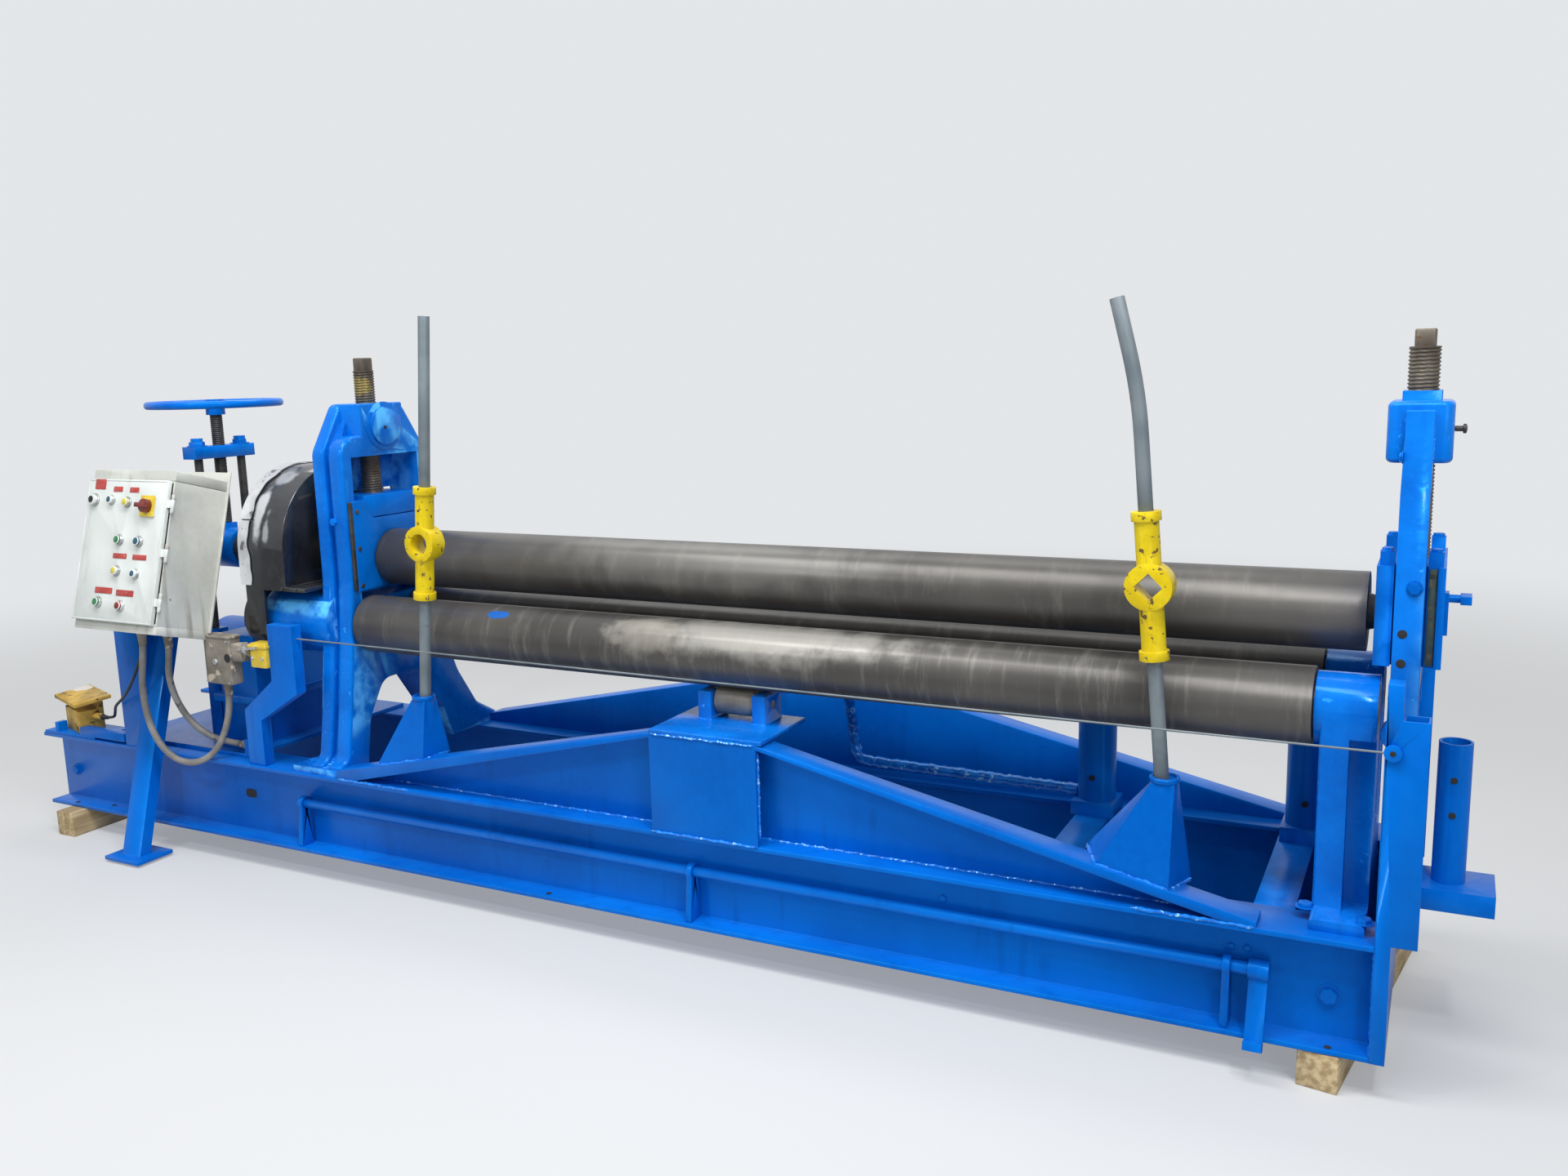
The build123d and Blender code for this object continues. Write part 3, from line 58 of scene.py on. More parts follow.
def stand(holder, across, up, away, spot):
    # gives an object its three axes and its place
    axes = np.eye(4)
    axes[:3] = np.column_stack([across, up, away, spot])
    holder.matrix_world = Matrix(axes.tolist())


def aimCamera():
    # right and up turned about the line of sight by the roll
    yaw, pitch, roll = (math.radians(view[key]) for key in ("yaw", "pitch", "roll"))
    ahead = np.array([-math.sin(yaw) * math.cos(pitch), math.cos(yaw) * math.cos(pitch), -math.sin(pitch)])
    right = np.array([math.cos(yaw), math.sin(yaw), 0.0])
    up = np.cross(right, ahead)
    side = math.cos(roll) * right + math.sin(roll) * up
    top = math.cos(roll) * up - math.sin(roll) * right
    camera = linked("camera", bpy.data.cameras.new("camera"))
    stand(camera, side, top, -ahead, view["place"])
    camera.data.lens = view["lens"]
    camera.data.sensor_width = view["sensor"]
    camera.data.clip_end = view["far"]
    bpy.context.scene.camera = camera


aimCamera()
print("camera placed")

# flexible conduits and the foot switch's lead: the route's points in metres, each a smooth spline's control points,
# and the moulded sleeve at each end: (place, direction, radius at the housing, length)
cordLook = {
    "conduitLoop": dict(
        node="conduit_loop", radius=0.011, length=0.88, stiffness="stiff", finish="conduitGrey", sleeve="greyCast",
        sleeves=[((-1.636, -0.4335, 0.81), (0, 0, -1), 0.0165, 0.046),
                 ((-1.389, -0.3135, 0.634), (0, 0, -1), 0.0165, 0.046)],
        points=[
            (-1.636, -0.4335, 0.806), (-1.637, -0.4335, 0.744), (-1.662, -0.4315, 0.655), (-1.675, -0.4235, 0.562),
            (-1.668, -0.4135, 0.47), (-1.632, -0.4005, 0.394), (-1.572, -0.3835, 0.352), (-1.502, -0.3615, 0.353),
            (-1.444, -0.3335, 0.4), (-1.409, -0.3175, 0.482), (-1.39, -0.3135, 0.564), (-1.389, -0.3135, 0.632)]),
    "conduitLow": dict(
        node="conduit_low", radius=0.011, length=0.575, stiffness="stiff", finish="conduitGrey", sleeve="greyCast",
        sleeves=[((-1.581, -0.3775, 0.794), (0, 0, -1), 0.0165, 0.046),
                 ((-1.385, -0.2575, 0.399), (-1, 0, 0), 0.0165, 0.04)],
        points=[
            (-1.581, -0.3775, 0.79), (-1.583, -0.3775, 0.73), (-1.616, -0.3655, 0.65), (-1.627, -0.3395, 0.562),
            (-1.611, -0.3095, 0.482), (-1.561, -0.2815, 0.424), (-1.489, -0.2575, 0.399), (-1.387, -0.2575, 0.399)]),
    "pedalLead": dict(
        node="pedal_lead", radius=0.005, length=0.6, stiffness="medium", finish="cableBlack", sleeve="cableBlack",
        sleeves=[((-1.715, -0.3775, 0.794), (0, 0, -1), 0.0105, 0.034),
                 ((-2.111, -0.2785, 0.431), (1, 0, 0), 0.0105, 0.03)],
        points=[
            (-1.715, -0.3775, 0.79), (-1.716, -0.3775, 0.73), (-1.745, -0.3865, 0.664), (-1.794, -0.3845, 0.596),
            (-1.86, -0.3695, 0.545), (-1.93, -0.3515, 0.508), (-1.993, -0.3095, 0.471), (-2.047, -0.2785, 0.431),
            (-2.113, -0.2785, 0.431)]),
}


def layCord(name, look):
    # one open NURBS line through its route; each point's radius is the cord's, which keeps the curve's box right
    curve = bpy.data.curves.new(name, "CURVE")
    curve.dimensions = "3D"
    curve.bevel_depth = 1.0
    curve.bevel_resolution = 4
    curve.resolution_u = 12
    curve.use_fill_caps = True
    spline = curve.splines.new("NURBS")
    route = np.array(look["points"])
    spline.points.add(len(route) - 1)
    spline.points.foreach_set("co", np.column_stack([route, np.ones(len(route))]).ravel())
    spline.points.foreach_set("radius", np.full(len(route), look["radius"]))
    spline.order_u = 3
    spline.use_endpoint_u = True
    piece = linked(name, curve)
    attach(piece, "base")
    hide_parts(look["node"])
    return piece


cords = {name: layCord(name, look) for name, look in cordLook.items()}
print("cords laid:", len(cords))


def feed(tree, socket, value):
    # links the socket to another one, or sets it to a plain value
    if isinstance(value, bpy.types.NodeSocket):
        tree.links.new(value, socket)
    else:
        socket.default_value = value


def put(tree, kind, sockets=None, **settings):
    # adds a node, sets what it needs and feeds its sockets
    node = tree.nodes.new(kind)
    for key, value in settings.items():
        setattr(node, key, value)
    for key, value in (sockets or {}).items():
        feed(tree, node.inputs[key], value)
    return node


def mixColor(tree, factor, first, second):
    # sockets 6 and 7 of a Mix node are its two colours, and a plain colour gets its alpha here
    first, second = (value if isinstance(value, bpy.types.NodeSocket) else (*value, 1) for value in (first, second))
    return put(tree, "ShaderNodeMix", {0: factor, 6: first, 7: second}, data_type="RGBA").outputs[2]


def maths(tree, operation, *values):
    return put(tree, "ShaderNodeMath", dict(enumerate(values)), operation=operation).outputs[0]


def vectorMaths(tree, operation, *values):
    return put(tree, "ShaderNodeVectorMath", dict(enumerate(values)), operation=operation).outputs


def noise(tree, vector, scale, detail, **more):
    sockets = {"Vector": vector, "Scale": scale, "Detail": detail, **more}
    return put(tree, "ShaderNodeTexNoise", sockets).outputs["Fac"]


def rampMask(tree, value, low, high):
    # 0 below low, 1 above high, smooth between
    sockets = {"Value": value, "From Min": low, "From Max": high}
    return put(tree, "ShaderNodeMapRange", sockets, interpolation_type="SMOOTHSTEP").outputs["Result"]


def bumpNormal(tree, height, strength, distance):
    sockets = {"Height": height, "Strength": strength, "Distance": distance}
    return put(tree, "ShaderNodeBump", sockets).outputs["Normal"]


def newGroup(name, floats, vectors=("Vector",)):
    # a node group with named vectors and numbers as inputs and one mask as output
    tree = bpy.data.node_groups.new(name, "ShaderNodeTree")
    for label in vectors:
        tree.interface.new_socket(label, in_out="INPUT", socket_type="NodeSocketVector")
    for label, start in floats.items():
        socket = tree.interface.new_socket(label, in_out="INPUT", socket_type="NodeSocketFloat")
        socket.default_value = start
    tree.interface.new_socket("Mask", in_out="OUTPUT", socket_type="NodeSocketFloat")
    return tree, tree.nodes.new("NodeGroupInput").outputs, tree.nodes.new("NodeGroupOutput").inputs["Mask"]


# where each mask starts and is full: a normal's Z, pointiness or noise
limits = {"facing": (0.55, 0.98), "dusting": (0.35, 0.7), "pointed": (0.56, 0.66), "edgeBreakup": (0.36, 0.62),
          "lines": (0.5, 0.7), "areas": (0.42, 0.62)}


def patchGroup():
    # patches of noise: 1 inside a patch, 0 outside
    tree, given, mask = newGroup("patches", {"Scale": 8.0, "Level": 0.6, "Softness": 0.04})
    grain = noise(tree, given["Vector"], given["Scale"], 7.0, Roughness=0.62)
    high = maths(tree, "ADD", given["Level"], given["Softness"])
    tree.links.new(rampMask(tree, grain, given["Level"], high), mask)
    return tree


def spotGroup():
    # 1 inside a stretched ball about a place, its border shaken by noise
    tree, given, mask = newGroup("placedSpot", {"Rough Edge": 0.5, "Scale": 30.0, "Softness": 0.15},
                                 ("Vector", "Centre", "Reach"))
    off = vectorMaths(tree, "SUBTRACT", given["Vector"], given["Centre"])[0]
    far = vectorMaths(tree, "LENGTH", vectorMaths(tree, "DIVIDE", off, given["Reach"])[0])["Value"]
    shake = maths(tree, "SUBTRACT", noise(tree, given["Vector"], given["Scale"], 5.0), 0.5)
    shaken = maths(tree, "MULTIPLY_ADD", shake, given["Rough Edge"], far)
    start = maths(tree, "SUBTRACT", 1.0, given["Softness"])
    sockets = {"Value": shaken, "From Min": start, "From Max": 1.0, "To Min": 1.0, "To Max": 0.0}
    edge = put(tree, "ShaderNodeMapRange", sockets, interpolation_type="SMOOTHSTEP")
    tree.links.new(edge.outputs["Result"], mask)
    return tree


def twoMaskGroup(name, scale, findMasks):
    # two masks and an amount multiplied together
    tree, given, mask = newGroup(name, {"Scale": scale, "Amount": 0.5})
    both = maths(tree, "MULTIPLY", *findMasks(tree, given["Vector"], given["Scale"]))
    tree.links.new(maths(tree, "MULTIPLY", both, given["Amount"]), mask)
    return tree


def dustMasks(tree, vector, scale):
    # dust settles on faces that look up, broken by noise
    normal = put(tree, "ShaderNodeNewGeometry").outputs["Normal"]
    up = put(tree, "ShaderNodeSeparateXYZ", {"Vector": normal}).outputs["Z"]
    broken = rampMask(tree, noise(tree, vector, scale, 6.0), *limits["dusting"])
    return rampMask(tree, up, *limits["facing"]), broken


def edgeMasks(tree, vector, scale):
    # lighter outer edges, partly wear and partly painted glint: the surface's pointiness, broken by noise
    sharp = put(tree, "ShaderNodeNewGeometry").outputs["Pointiness"]
    broken = rampMask(tree, noise(tree, vector, scale, 6.0), *limits["edgeBreakup"])
    return rampMask(tree, sharp, *limits["pointed"]), broken


def streakMasks(tree, vector, scale):
    # dirt that ran down: noise drawn out along Z, gathered in patches
    drawn = put(tree, "ShaderNodeMapping", {"Vector": vector, "Scale": (1.0, 1.0, 0.09)}).outputs["Vector"]
    areas = rampMask(tree, noise(tree, vector, 5.0, 3.0), *limits["areas"])
    return rampMask(tree, noise(tree, drawn, scale, 5.0), *limits["lines"]), areas


placedSpot = spotGroup()
patches = patchGroup()
settledDust = twoMaskGroup("settledDust", 5.0, dustMasks)
edgeRubAndGlint = twoMaskGroup("edgeRubAndGlint", 18.0, edgeMasks)
runStreaks = twoMaskGroup("runStreaks", 30.0, streakMasks)


def objectPlace(tree, scale=(1, 1, 1)):
    # Object coordinates, stretched; the part's own frame in metres
    where = put(tree, "ShaderNodeTexCoord").outputs["Object"]
    return put(tree, "ShaderNodeMapping", {"Vector": where, "Scale": scale}).outputs["Vector"]


def newMaterial(name):
    material = bpy.data.materials.new(name)
    material.use_nodes = True
    tree = material.node_tree
    tree.nodes.clear()
    shader = put(tree, "ShaderNodeBsdfPrincipled")
    output = put(tree, "ShaderNodeOutputMaterial")
    tree.links.new(shader.outputs["BSDF"], output.inputs["Surface"])
    return material, tree, shader


def masked(tree, group, where, **sockets):
    return put(tree, "ShaderNodeGroup", {"Vector": where, **sockets}, node_tree=group).outputs["Mask"]


def spotted(tree, where, tone, look):
    # lays each named spot of a look over its tone; spots are splashes and worn patches, and some are painted highlights
    # and reflections
    for centre, reach, colour, strength, rough, scale, softness in look["spots"]:
        mask = masked(tree, placedSpot, where, Centre=centre, Reach=reach, Scale=scale, Softness=softness,
                      **{"Rough Edge": rough})
        tone = mixColor(tree, maths(tree, "MULTIPLY", mask, strength), tone, colour)
    return tone


# what every paint and every metal starts from; an entry below changes what it names
dusty = (0.24, 0.25, 0.26)
rusty = (0.1, 0.045, 0.02)
paintStart = dict(
    rough=0.3, coat=0.25, coatRough=0.12, metallic=0.0, tint=(1, 1, 1), dust=0.2, dustTone=dusty, dustScale=7.0,
    fineScale=55.0, fine=0.25, edge=0.5, edgeScale=16.0, streaks=0.12, streakScale=26.0, chipAndGlintSoftness=0.015,
    brush=14.0, bump=0.35, depth=0.004, spots=(), fineRough=0.18, chipAndGlintRough=0.35, dustRough=0.4, fineHeight=0.25,
    chipAndGlintDepth=0.12)
metalStart = dict(grain=(1, 1, 1), marks=0.3, markScale=6.0, rust=rusty, rustSoftness=0.08, bump=0.2, depth=0.002,
                  spots=())


def paint(name, changes):
    # enamel brushed over steel: two tones, lighter edges (partly wear, partly painted glint), streaks, chipped patches
    # down to metal (pale specks of painted glint in the glint finishes), dust on top, brush unevenness
    look = {**paintStart, "edgeRubAndGlintTone": changes["light"], "streakTone": changes["dark"], **changes}
    material, tree, shader = newMaterial(name)
    where = objectPlace(tree)
    broad = noise(tree, where, look["broad"], 5.0)
    tone = mixColor(tree, rampMask(tree, broad, 0.35, 0.7), look["dark"], look["light"])
    fine = noise(tree, where, look["fineScale"], 6.0)
    lighter = maths(tree, "MULTIPLY", rampMask(tree, fine, 0.3, 0.8), look["fine"])
    edges = masked(tree, edgeRubAndGlint, where, Scale=look["edgeScale"], Amount=look["edge"])
    streaks = masked(tree, runStreaks, where, Scale=look["streakScale"], Amount=look["streaks"])
    # chipped patches show the layer beneath; in the weld and cast finishes their pale blue is painted glint instead
    chipAndGlintMask = masked(tree, patches, where, Scale=look["chipAndGlintScale"], Level=look["chipAndGlintLevel"],
                   Softness=look["chipAndGlintSoftness"])
    dust = masked(tree, settledDust, where, Scale=look["dustScale"], Amount=look["dust"])
    for mask, layer in ((lighter, "light"), (edges, "edgeRubAndGlintTone"), (streaks, "streakTone"), (chipAndGlintMask, "chipAndGlintTone"),
                        (dust, "dustTone")):
        tone = mixColor(tree, mask, tone, look[layer])
    rough = look["rough"]
    for mask, gain in ((fine, "fineRough"), (chipAndGlintMask, "chipAndGlintRough"), (dust, "dustRough")):
        rough = maths(tree, "MULTIPLY_ADD", mask, look[gain], rough)
    height = maths(tree, "MULTIPLY_ADD", noise(tree, where, look["brush"], 3.0), 1.0,
                   maths(tree, "MULTIPLY", fine, look["fineHeight"]))
    height = maths(tree, "SUBTRACT", height, maths(tree, "MULTIPLY", chipAndGlintMask, look["chipAndGlintDepth"]))
    for socket, value in (("Base Color", spotted(tree, where, tone, look)), ("Roughness", rough),
                          ("Metallic", look["metallic"]), ("Coat Weight", look["coat"]),
                          ("Coat Roughness", look["coatRough"]), ("Specular Tint", (*look["tint"], 1)),
                          ("Normal", bumpNormal(tree, height, look["bump"], look["depth"]))):
        feed(tree, shader.inputs[socket], value)
    return material


def metal(name, changes):
    # bare steel: two tones, turning marks across x where asked, rust patches
    look = {**metalStart, **changes}
    material, tree, shader = newMaterial(name)
    where = objectPlace(tree)
    broad = noise(tree, where, look["broad"], 6.0)
    tone = mixColor(tree, rampMask(tree, broad, 0.3, 0.72), look["dark"], look["light"])
    marks = noise(tree, objectPlace(tree, look["grain"]), look["markScale"], 8.0, Roughness=0.7)
    worn = maths(tree, "MULTIPLY", rampMask(tree, marks, 0.5, 0.75), look["marks"])
    rust = masked(tree, patches, where, Scale=look["rustScale"], Level=look["rustLevel"],
                  Softness=look["rustSoftness"])
    for mask, layer in ((worn, "bright"), (rust, "rust")):
        tone = mixColor(tree, mask, tone, look[layer])
    rough = maths(tree, "MULTIPLY_ADD", marks, 0.2, look["rough"])
    height = maths(tree, "MULTIPLY_ADD", marks, 0.6, broad)
    for socket, value in (("Base Color", spotted(tree, where, tone, look)), ("Metallic", look["metallic"]),
                          ("Roughness", maths(tree, "MULTIPLY_ADD", rust, 0.25, rough)),
                          ("Normal", bumpNormal(tree, height, look["bump"], look["depth"]))):
        feed(tree, shader.inputs[socket], value)
    return material


capStart = dict(broad=60.0, chipAndGlintScale=90.0, chipAndGlintLevel=0.8, rough=0.2)
paints = {
    # blue enamel: the light blue along its edges is painted glint, with some wear
    "blueEnamel": dict(
        dark=(0.0008, 0.095, 0.46), light=(0.001, 0.15, 0.64), chipAndGlintTone=(0.004, 0.03, 0.13), broad=2.2, chipAndGlintScale=26.0,
        chipAndGlintLevel=0.74, dust=0.22, dustTone=(0.008, 0.17, 0.56), rough=0.23, coat=0.05, tint=(0.01, 0.45, 1.0),
        edge=0.8, edgeRubAndGlintTone=(0.01, 0.26, 0.92), streaks=0.35, streakTone=(0.0006, 0.056, 0.31)),
    # cast parts: the pale blue specks in the chip mask and the light blue along the edges are painted glints
    "castBlueAndGlints": dict(
        dark=(0.0008, 0.1, 0.48), light=(0.0015, 0.165, 0.68), chipAndGlintTone=(0.02, 0.26, 0.8), broad=5.0, chipAndGlintScale=34.0,
        chipAndGlintLevel=0.66, dust=0.22, dustTone=(0.008, 0.17, 0.56), rough=0.16, coat=0.14, tint=(0.02, 0.5, 1.0),
        brush=22.0, bump=0.5, edge=1.0, edgeRubAndGlintTone=(0.1, 0.48, 1.0), streaks=0.35, streakTone=(0.0006, 0.07, 0.36)),
    # welds: the pale blue specks in the chip mask are painted glints
    "weldBlueAndGlints": dict(
        dark=(0.001, 0.11, 0.55), light=(0.01, 0.24, 0.86), chipAndGlintTone=(0.28, 0.62, 0.95), broad=40.0, chipAndGlintScale=60.0,
        chipAndGlintLevel=0.6, dust=0.1, dustTone=(0.03, 0.16, 0.45), rough=0.1, coat=0.5, tint=(0.2, 0.6, 1.0)),
    "yellowEnamel": dict(
        dark=(0.56, 0.41, 0.004), light=(0.72, 0.56, 0.01), chipAndGlintTone=(0.1, 0.06, 0.03), broad=14.0, chipAndGlintScale=52.0,
        chipAndGlintLevel=0.605, dust=0.1, dustTone=(0.36, 0.3, 0.12), rough=0.3, brush=40.0, coat=0.1, tint=(1.0, 0.85, 0.35)),
    "guardSheetAndGlare": dict(
        dark=(0.012, 0.013, 0.016), light=(0.045, 0.048, 0.055), chipAndGlintTone=(0.25, 0.26, 0.27), broad=5.0, chipAndGlintScale=14.0,
        chipAndGlintLevel=0.78, dust=0.1, dustTone=(0.2, 0.2, 0.21), rough=0.12, coat=0.6, metallic=0.35, brush=7.0, bump=0.6,
        # dark painted sheet; its three pale, wavy-edged spots are painted reflections of the lamps on the curved guard
        spots=[((-1.238, -0.25, 1.2), (0.03, 0.12, 0.13), (0.6, 0.62, 0.64), 0.9, 1.5, 13.0, 0.45),
               ((-1.195, -0.26, 1.15), (0.018, 0.08, 0.07), (0.4, 0.42, 0.44), 0.7, 1.5, 18.0, 0.5),
               ((-1.215, -0.16, 1.32), (0.05, 0.07, 0.04), (0.46, 0.48, 0.5), 0.7, 1.4, 16.0, 0.5)]),
    "boxWhite": dict(
        dark=(0.44, 0.45, 0.41), light=(0.58, 0.6, 0.56), chipAndGlintTone=(0.2, 0.17, 0.13), broad=5.0, chipAndGlintScale=20.0,
        chipAndGlintLevel=0.7, dustTone=(0.3, 0.29, 0.26), rough=0.38, bump=0.1, streaks=0.8, streakTone=(0.22, 0.2, 0.16)),
    "doorWhite": dict(
        dark=(0.6, 0.64, 0.62), light=(0.7, 0.75, 0.73), chipAndGlintTone=(0.3, 0.28, 0.24), broad=4.0, chipAndGlintScale=22.0,
        chipAndGlintLevel=0.73, dust=0.1, dustTone=(0.4, 0.4, 0.37), rough=0.34, bump=0.08, streaks=0.22,
        streakTone=(0.36, 0.36, 0.33)),
    "greyCast": dict(
        dark=(0.13, 0.115, 0.095), light=(0.26, 0.235, 0.2), chipAndGlintTone=(0.5, 0.44, 0.34), broad=14.0, chipAndGlintScale=22.0,
        chipAndGlintLevel=0.6, dust=0.5, dustTone=(0.48, 0.43, 0.34), rough=0.5, coat=0.0),
    "yellowCast": dict(
        dark=(0.42, 0.25, 0.03), light=(0.68, 0.44, 0.075), chipAndGlintTone=(0.16, 0.1, 0.04), broad=16.0, chipAndGlintScale=24.0,
        chipAndGlintLevel=0.6, dust=0.3, dustTone=(0.42, 0.36, 0.24), rough=0.5, coat=0.0,
        spots=[((-2.32, -0.205, 0.5), (0.052, 0.034, 0.05), (0.72, 0.7, 0.64), 0.9, 0.9, 55.0, 0.2)]),
    "yellowPlate": dict(
        dark=(0.58, 0.4, 0.02), light=(0.74, 0.56, 0.04), chipAndGlintTone=(0.3, 0.2, 0.05), broad=30.0, chipAndGlintScale=60.0,
        chipAndGlintLevel=0.66, dust=0.1, rough=0.35),
    "redPlastic": dict(
        dark=(0.11, 0.009, 0.006), light=(0.25, 0.018, 0.012), chipAndGlintTone=(0.1, 0.02, 0.015), broad=30.0, chipAndGlintScale=60.0,
        chipAndGlintLevel=0.72, dustTone=(0.26, 0.14, 0.11)),
    "wornSheet": dict(
        dark=(0.34, 0.35, 0.36), light=(0.6, 0.62, 0.63), chipAndGlintTone=(0.1, 0.1, 0.11), broad=9.0, chipAndGlintScale=22.0,
        chipAndGlintLevel=0.6, dust=0.1, rough=0.3),
    # near-black: painted shade in holes, centres and open mouths
    "paintedShadeBlack": dict(
        dark=(0.004, 0.005, 0.008), light=(0.01, 0.011, 0.014), chipAndGlintTone=(0.02, 0.02, 0.02), broad=30.0, chipAndGlintScale=40.0,
        chipAndGlintLevel=0.8, dust=0.1, rough=0.6, coat=0.0),
    "redLabel": dict(
        dark=(0.32, 0.028, 0.022), light=(0.46, 0.055, 0.045), chipAndGlintTone=(0.5, 0.28, 0.24), broad=40.0, chipAndGlintScale=90.0,
        chipAndGlintLevel=0.64, dustTone=(0.45, 0.25, 0.22), rough=0.4, bump=0.05),
    "greenCap": dict(capStart, dark=(0.01, 0.11, 0.035), light=(0.025, 0.21, 0.075), chipAndGlintTone=(0.02, 0.05, 0.03)),
    "blueCap": dict(capStart, dark=(0.008, 0.05, 0.09), light=(0.015, 0.095, 0.16), chipAndGlintTone=(0.02, 0.03, 0.05)),
    "yellowCap": dict(capStart, dark=(0.5, 0.42, 0.02), light=(0.66, 0.58, 0.06), chipAndGlintTone=(0.25, 0.2, 0.03)),
    "tealStrip": dict(
        dark=(0.01, 0.03, 0.028), light=(0.03, 0.06, 0.05), chipAndGlintTone=(0.1, 0.08, 0.04), broad=40.0, chipAndGlintScale=50.0,
        chipAndGlintLevel=0.6, rough=0.45),
    "conduitGrey": dict(
        dark=(0.15, 0.145, 0.14), light=(0.27, 0.26, 0.245), chipAndGlintTone=(0.1, 0.085, 0.07), broad=12.0, chipAndGlintScale=30.0,
        chipAndGlintLevel=0.64, dust=0.3, dustTone=(0.34, 0.32, 0.29), rough=0.42, coat=0.0),
    "cableBlack": dict(
        dark=(0.01, 0.011, 0.014), light=(0.028, 0.03, 0.036), chipAndGlintTone=(0.05, 0.05, 0.05), broad=30.0, chipAndGlintScale=40.0,
        chipAndGlintLevel=0.7, rough=0.4, coat=0.0),
}
splashBlue = (0.01, 0.13, 0.52)
metals = {
    "rollSteel": dict(
        dark=(0.06, 0.056, 0.052), light=(0.11, 0.104, 0.096), bright=(0.26, 0.25, 0.23), grain=(3.6, 0.9, 0.9),
        marks=0.28, broad=1.6, rustScale=7.0, rustLevel=0.7, rust=(0.07, 0.048, 0.035), metallic=0.38, rough=0.3,
        # the spot is a lighter patch on the top roll's upper front: worn steel and painted highlight
        bump=0.06, spots=[((0.35, -0.1, 1.1), (0.75, 0.12, 0.12), (0.2, 0.2, 0.185), 0.4, 1.3, 10.0, 0.7)]),
    "frontRollSteel": dict(
        dark=(0.06, 0.056, 0.052), light=(0.112, 0.106, 0.098), bright=(0.34, 0.33, 0.3), grain=(6.0, 0.7, 0.7),
        marks=0.3, broad=1.6, rustScale=7.0, rustLevel=0.7, rust=(0.08, 0.055, 0.038), metallic=0.38, rough=0.29,
        bump=0.06,
        # the first two spots are bright bands on the roll's upper front, worn steel and painted highlight; the last two
        # are a splash of blue paint
        spots=[((0.57, -0.2, 0.92), (0.52, 0.1, 0.1), (0.38, 0.37, 0.335), 0.6, 1.3, 14.0, 0.6),
               ((0.22, -0.21, 0.9), (0.16, 0.08, 0.08), (0.32, 0.3, 0.26), 0.5, 1.3, 24.0, 0.5),
               ((-0.325, -0.199, 0.921), (0.05, 0.022, 0.022), splashBlue, 1.0, 0.5, 40.0, 0.06),
               ((-0.262, -0.186, 0.928), (0.022, 0.01, 0.01), splashBlue, 1.0, 0.5, 60.0, 0.06)]),
    "screwSteel": dict(
        dark=(0.075, 0.062, 0.05), light=(0.16, 0.14, 0.11), bright=(0.34, 0.31, 0.26), broad=18.0, rustScale=30.0,
        rustLevel=0.6, metallic=0.6, rough=0.38,
        spots=[((-0.9675, -0.05, 1.6), (0.05, 0.05, 0.035), (0.34, 0.26, 0.06), 0.6, 1.2, 60.0, 0.3)]),
    "darkSteel": dict(
        dark=(0.025, 0.026, 0.028), light=(0.06, 0.06, 0.06), bright=(0.2, 0.19, 0.17), broad=22.0, rustScale=30.0,
        rustLevel=0.62, metallic=0.5, rough=0.4),
    "chromeRing": dict(
        dark=(0.34, 0.36, 0.36), light=(0.62, 0.64, 0.64), bright=(0.8, 0.8, 0.8), broad=40.0, rustScale=60.0,
        rustLevel=0.66, rust=(0.2, 0.19, 0.16), metallic=0.8, rough=0.22),
    "wornSteel": dict(
        dark=(0.15, 0.14, 0.115), light=(0.27, 0.255, 0.22), bright=(0.45, 0.43, 0.38), grain=(5.0, 1.0, 1.0),
        broad=14.0, rustScale=20.0, rustLevel=0.66, rust=(0.12, 0.09, 0.06), metallic=0.3, rough=0.42),
    "zincPipe": dict(
        dark=(0.105, 0.135, 0.155), light=(0.18, 0.215, 0.235), bright=(0.34, 0.37, 0.38), grain=(1.0, 1.0, 0.12),
        broad=8.0, rustScale=14.0, rustLevel=0.66, rust=(0.13, 0.11, 0.09), metallic=0.2, rough=0.45),
}
looks = {name: paint(name, look) for name, look in paints.items()}
looks.update({name: metal(name, look) for name, look in metals.items()})
timber = {"dark": (0.34, 0.24, 0.12), "light": (0.58, 0.46, 0.27), "stain": (0.2, 0.15, 0.09), "stained": 0.5,
          "along": (1.0, 0.06, 1.0), "rings": 60.0, "stains": 9.0, "rough": 0.8, "bump": 0.4, "depth": 0.002}


def timberLook():
    # sawn softwood: rings stretched along y, darker dirt and end grain
    material, tree, shader = newMaterial("sawnTimber")
    rings = noise(tree, objectPlace(tree, timber["along"]), timber["rings"], 5.0)
    tone = mixColor(tree, rampMask(tree, rings, 0.35, 0.65), timber["dark"], timber["light"])
    stain = masked(tree, patches, objectPlace(tree), Scale=timber["stains"], Level=0.5, Softness=0.2)
    tone = mixColor(tree, maths(tree, "MULTIPLY", stain, timber["stained"]), tone, timber["stain"])
    for socket, value in (("Base Color", tone), ("Roughness", timber["rough"]),
                          ("Normal", bumpNormal(tree, rings, timber["bump"], timber["depth"]))):
        feed(tree, shader.inputs[socket], value)
    return material


looks["sawnTimber"] = timberLook()
print("materials ready:", len(looks))

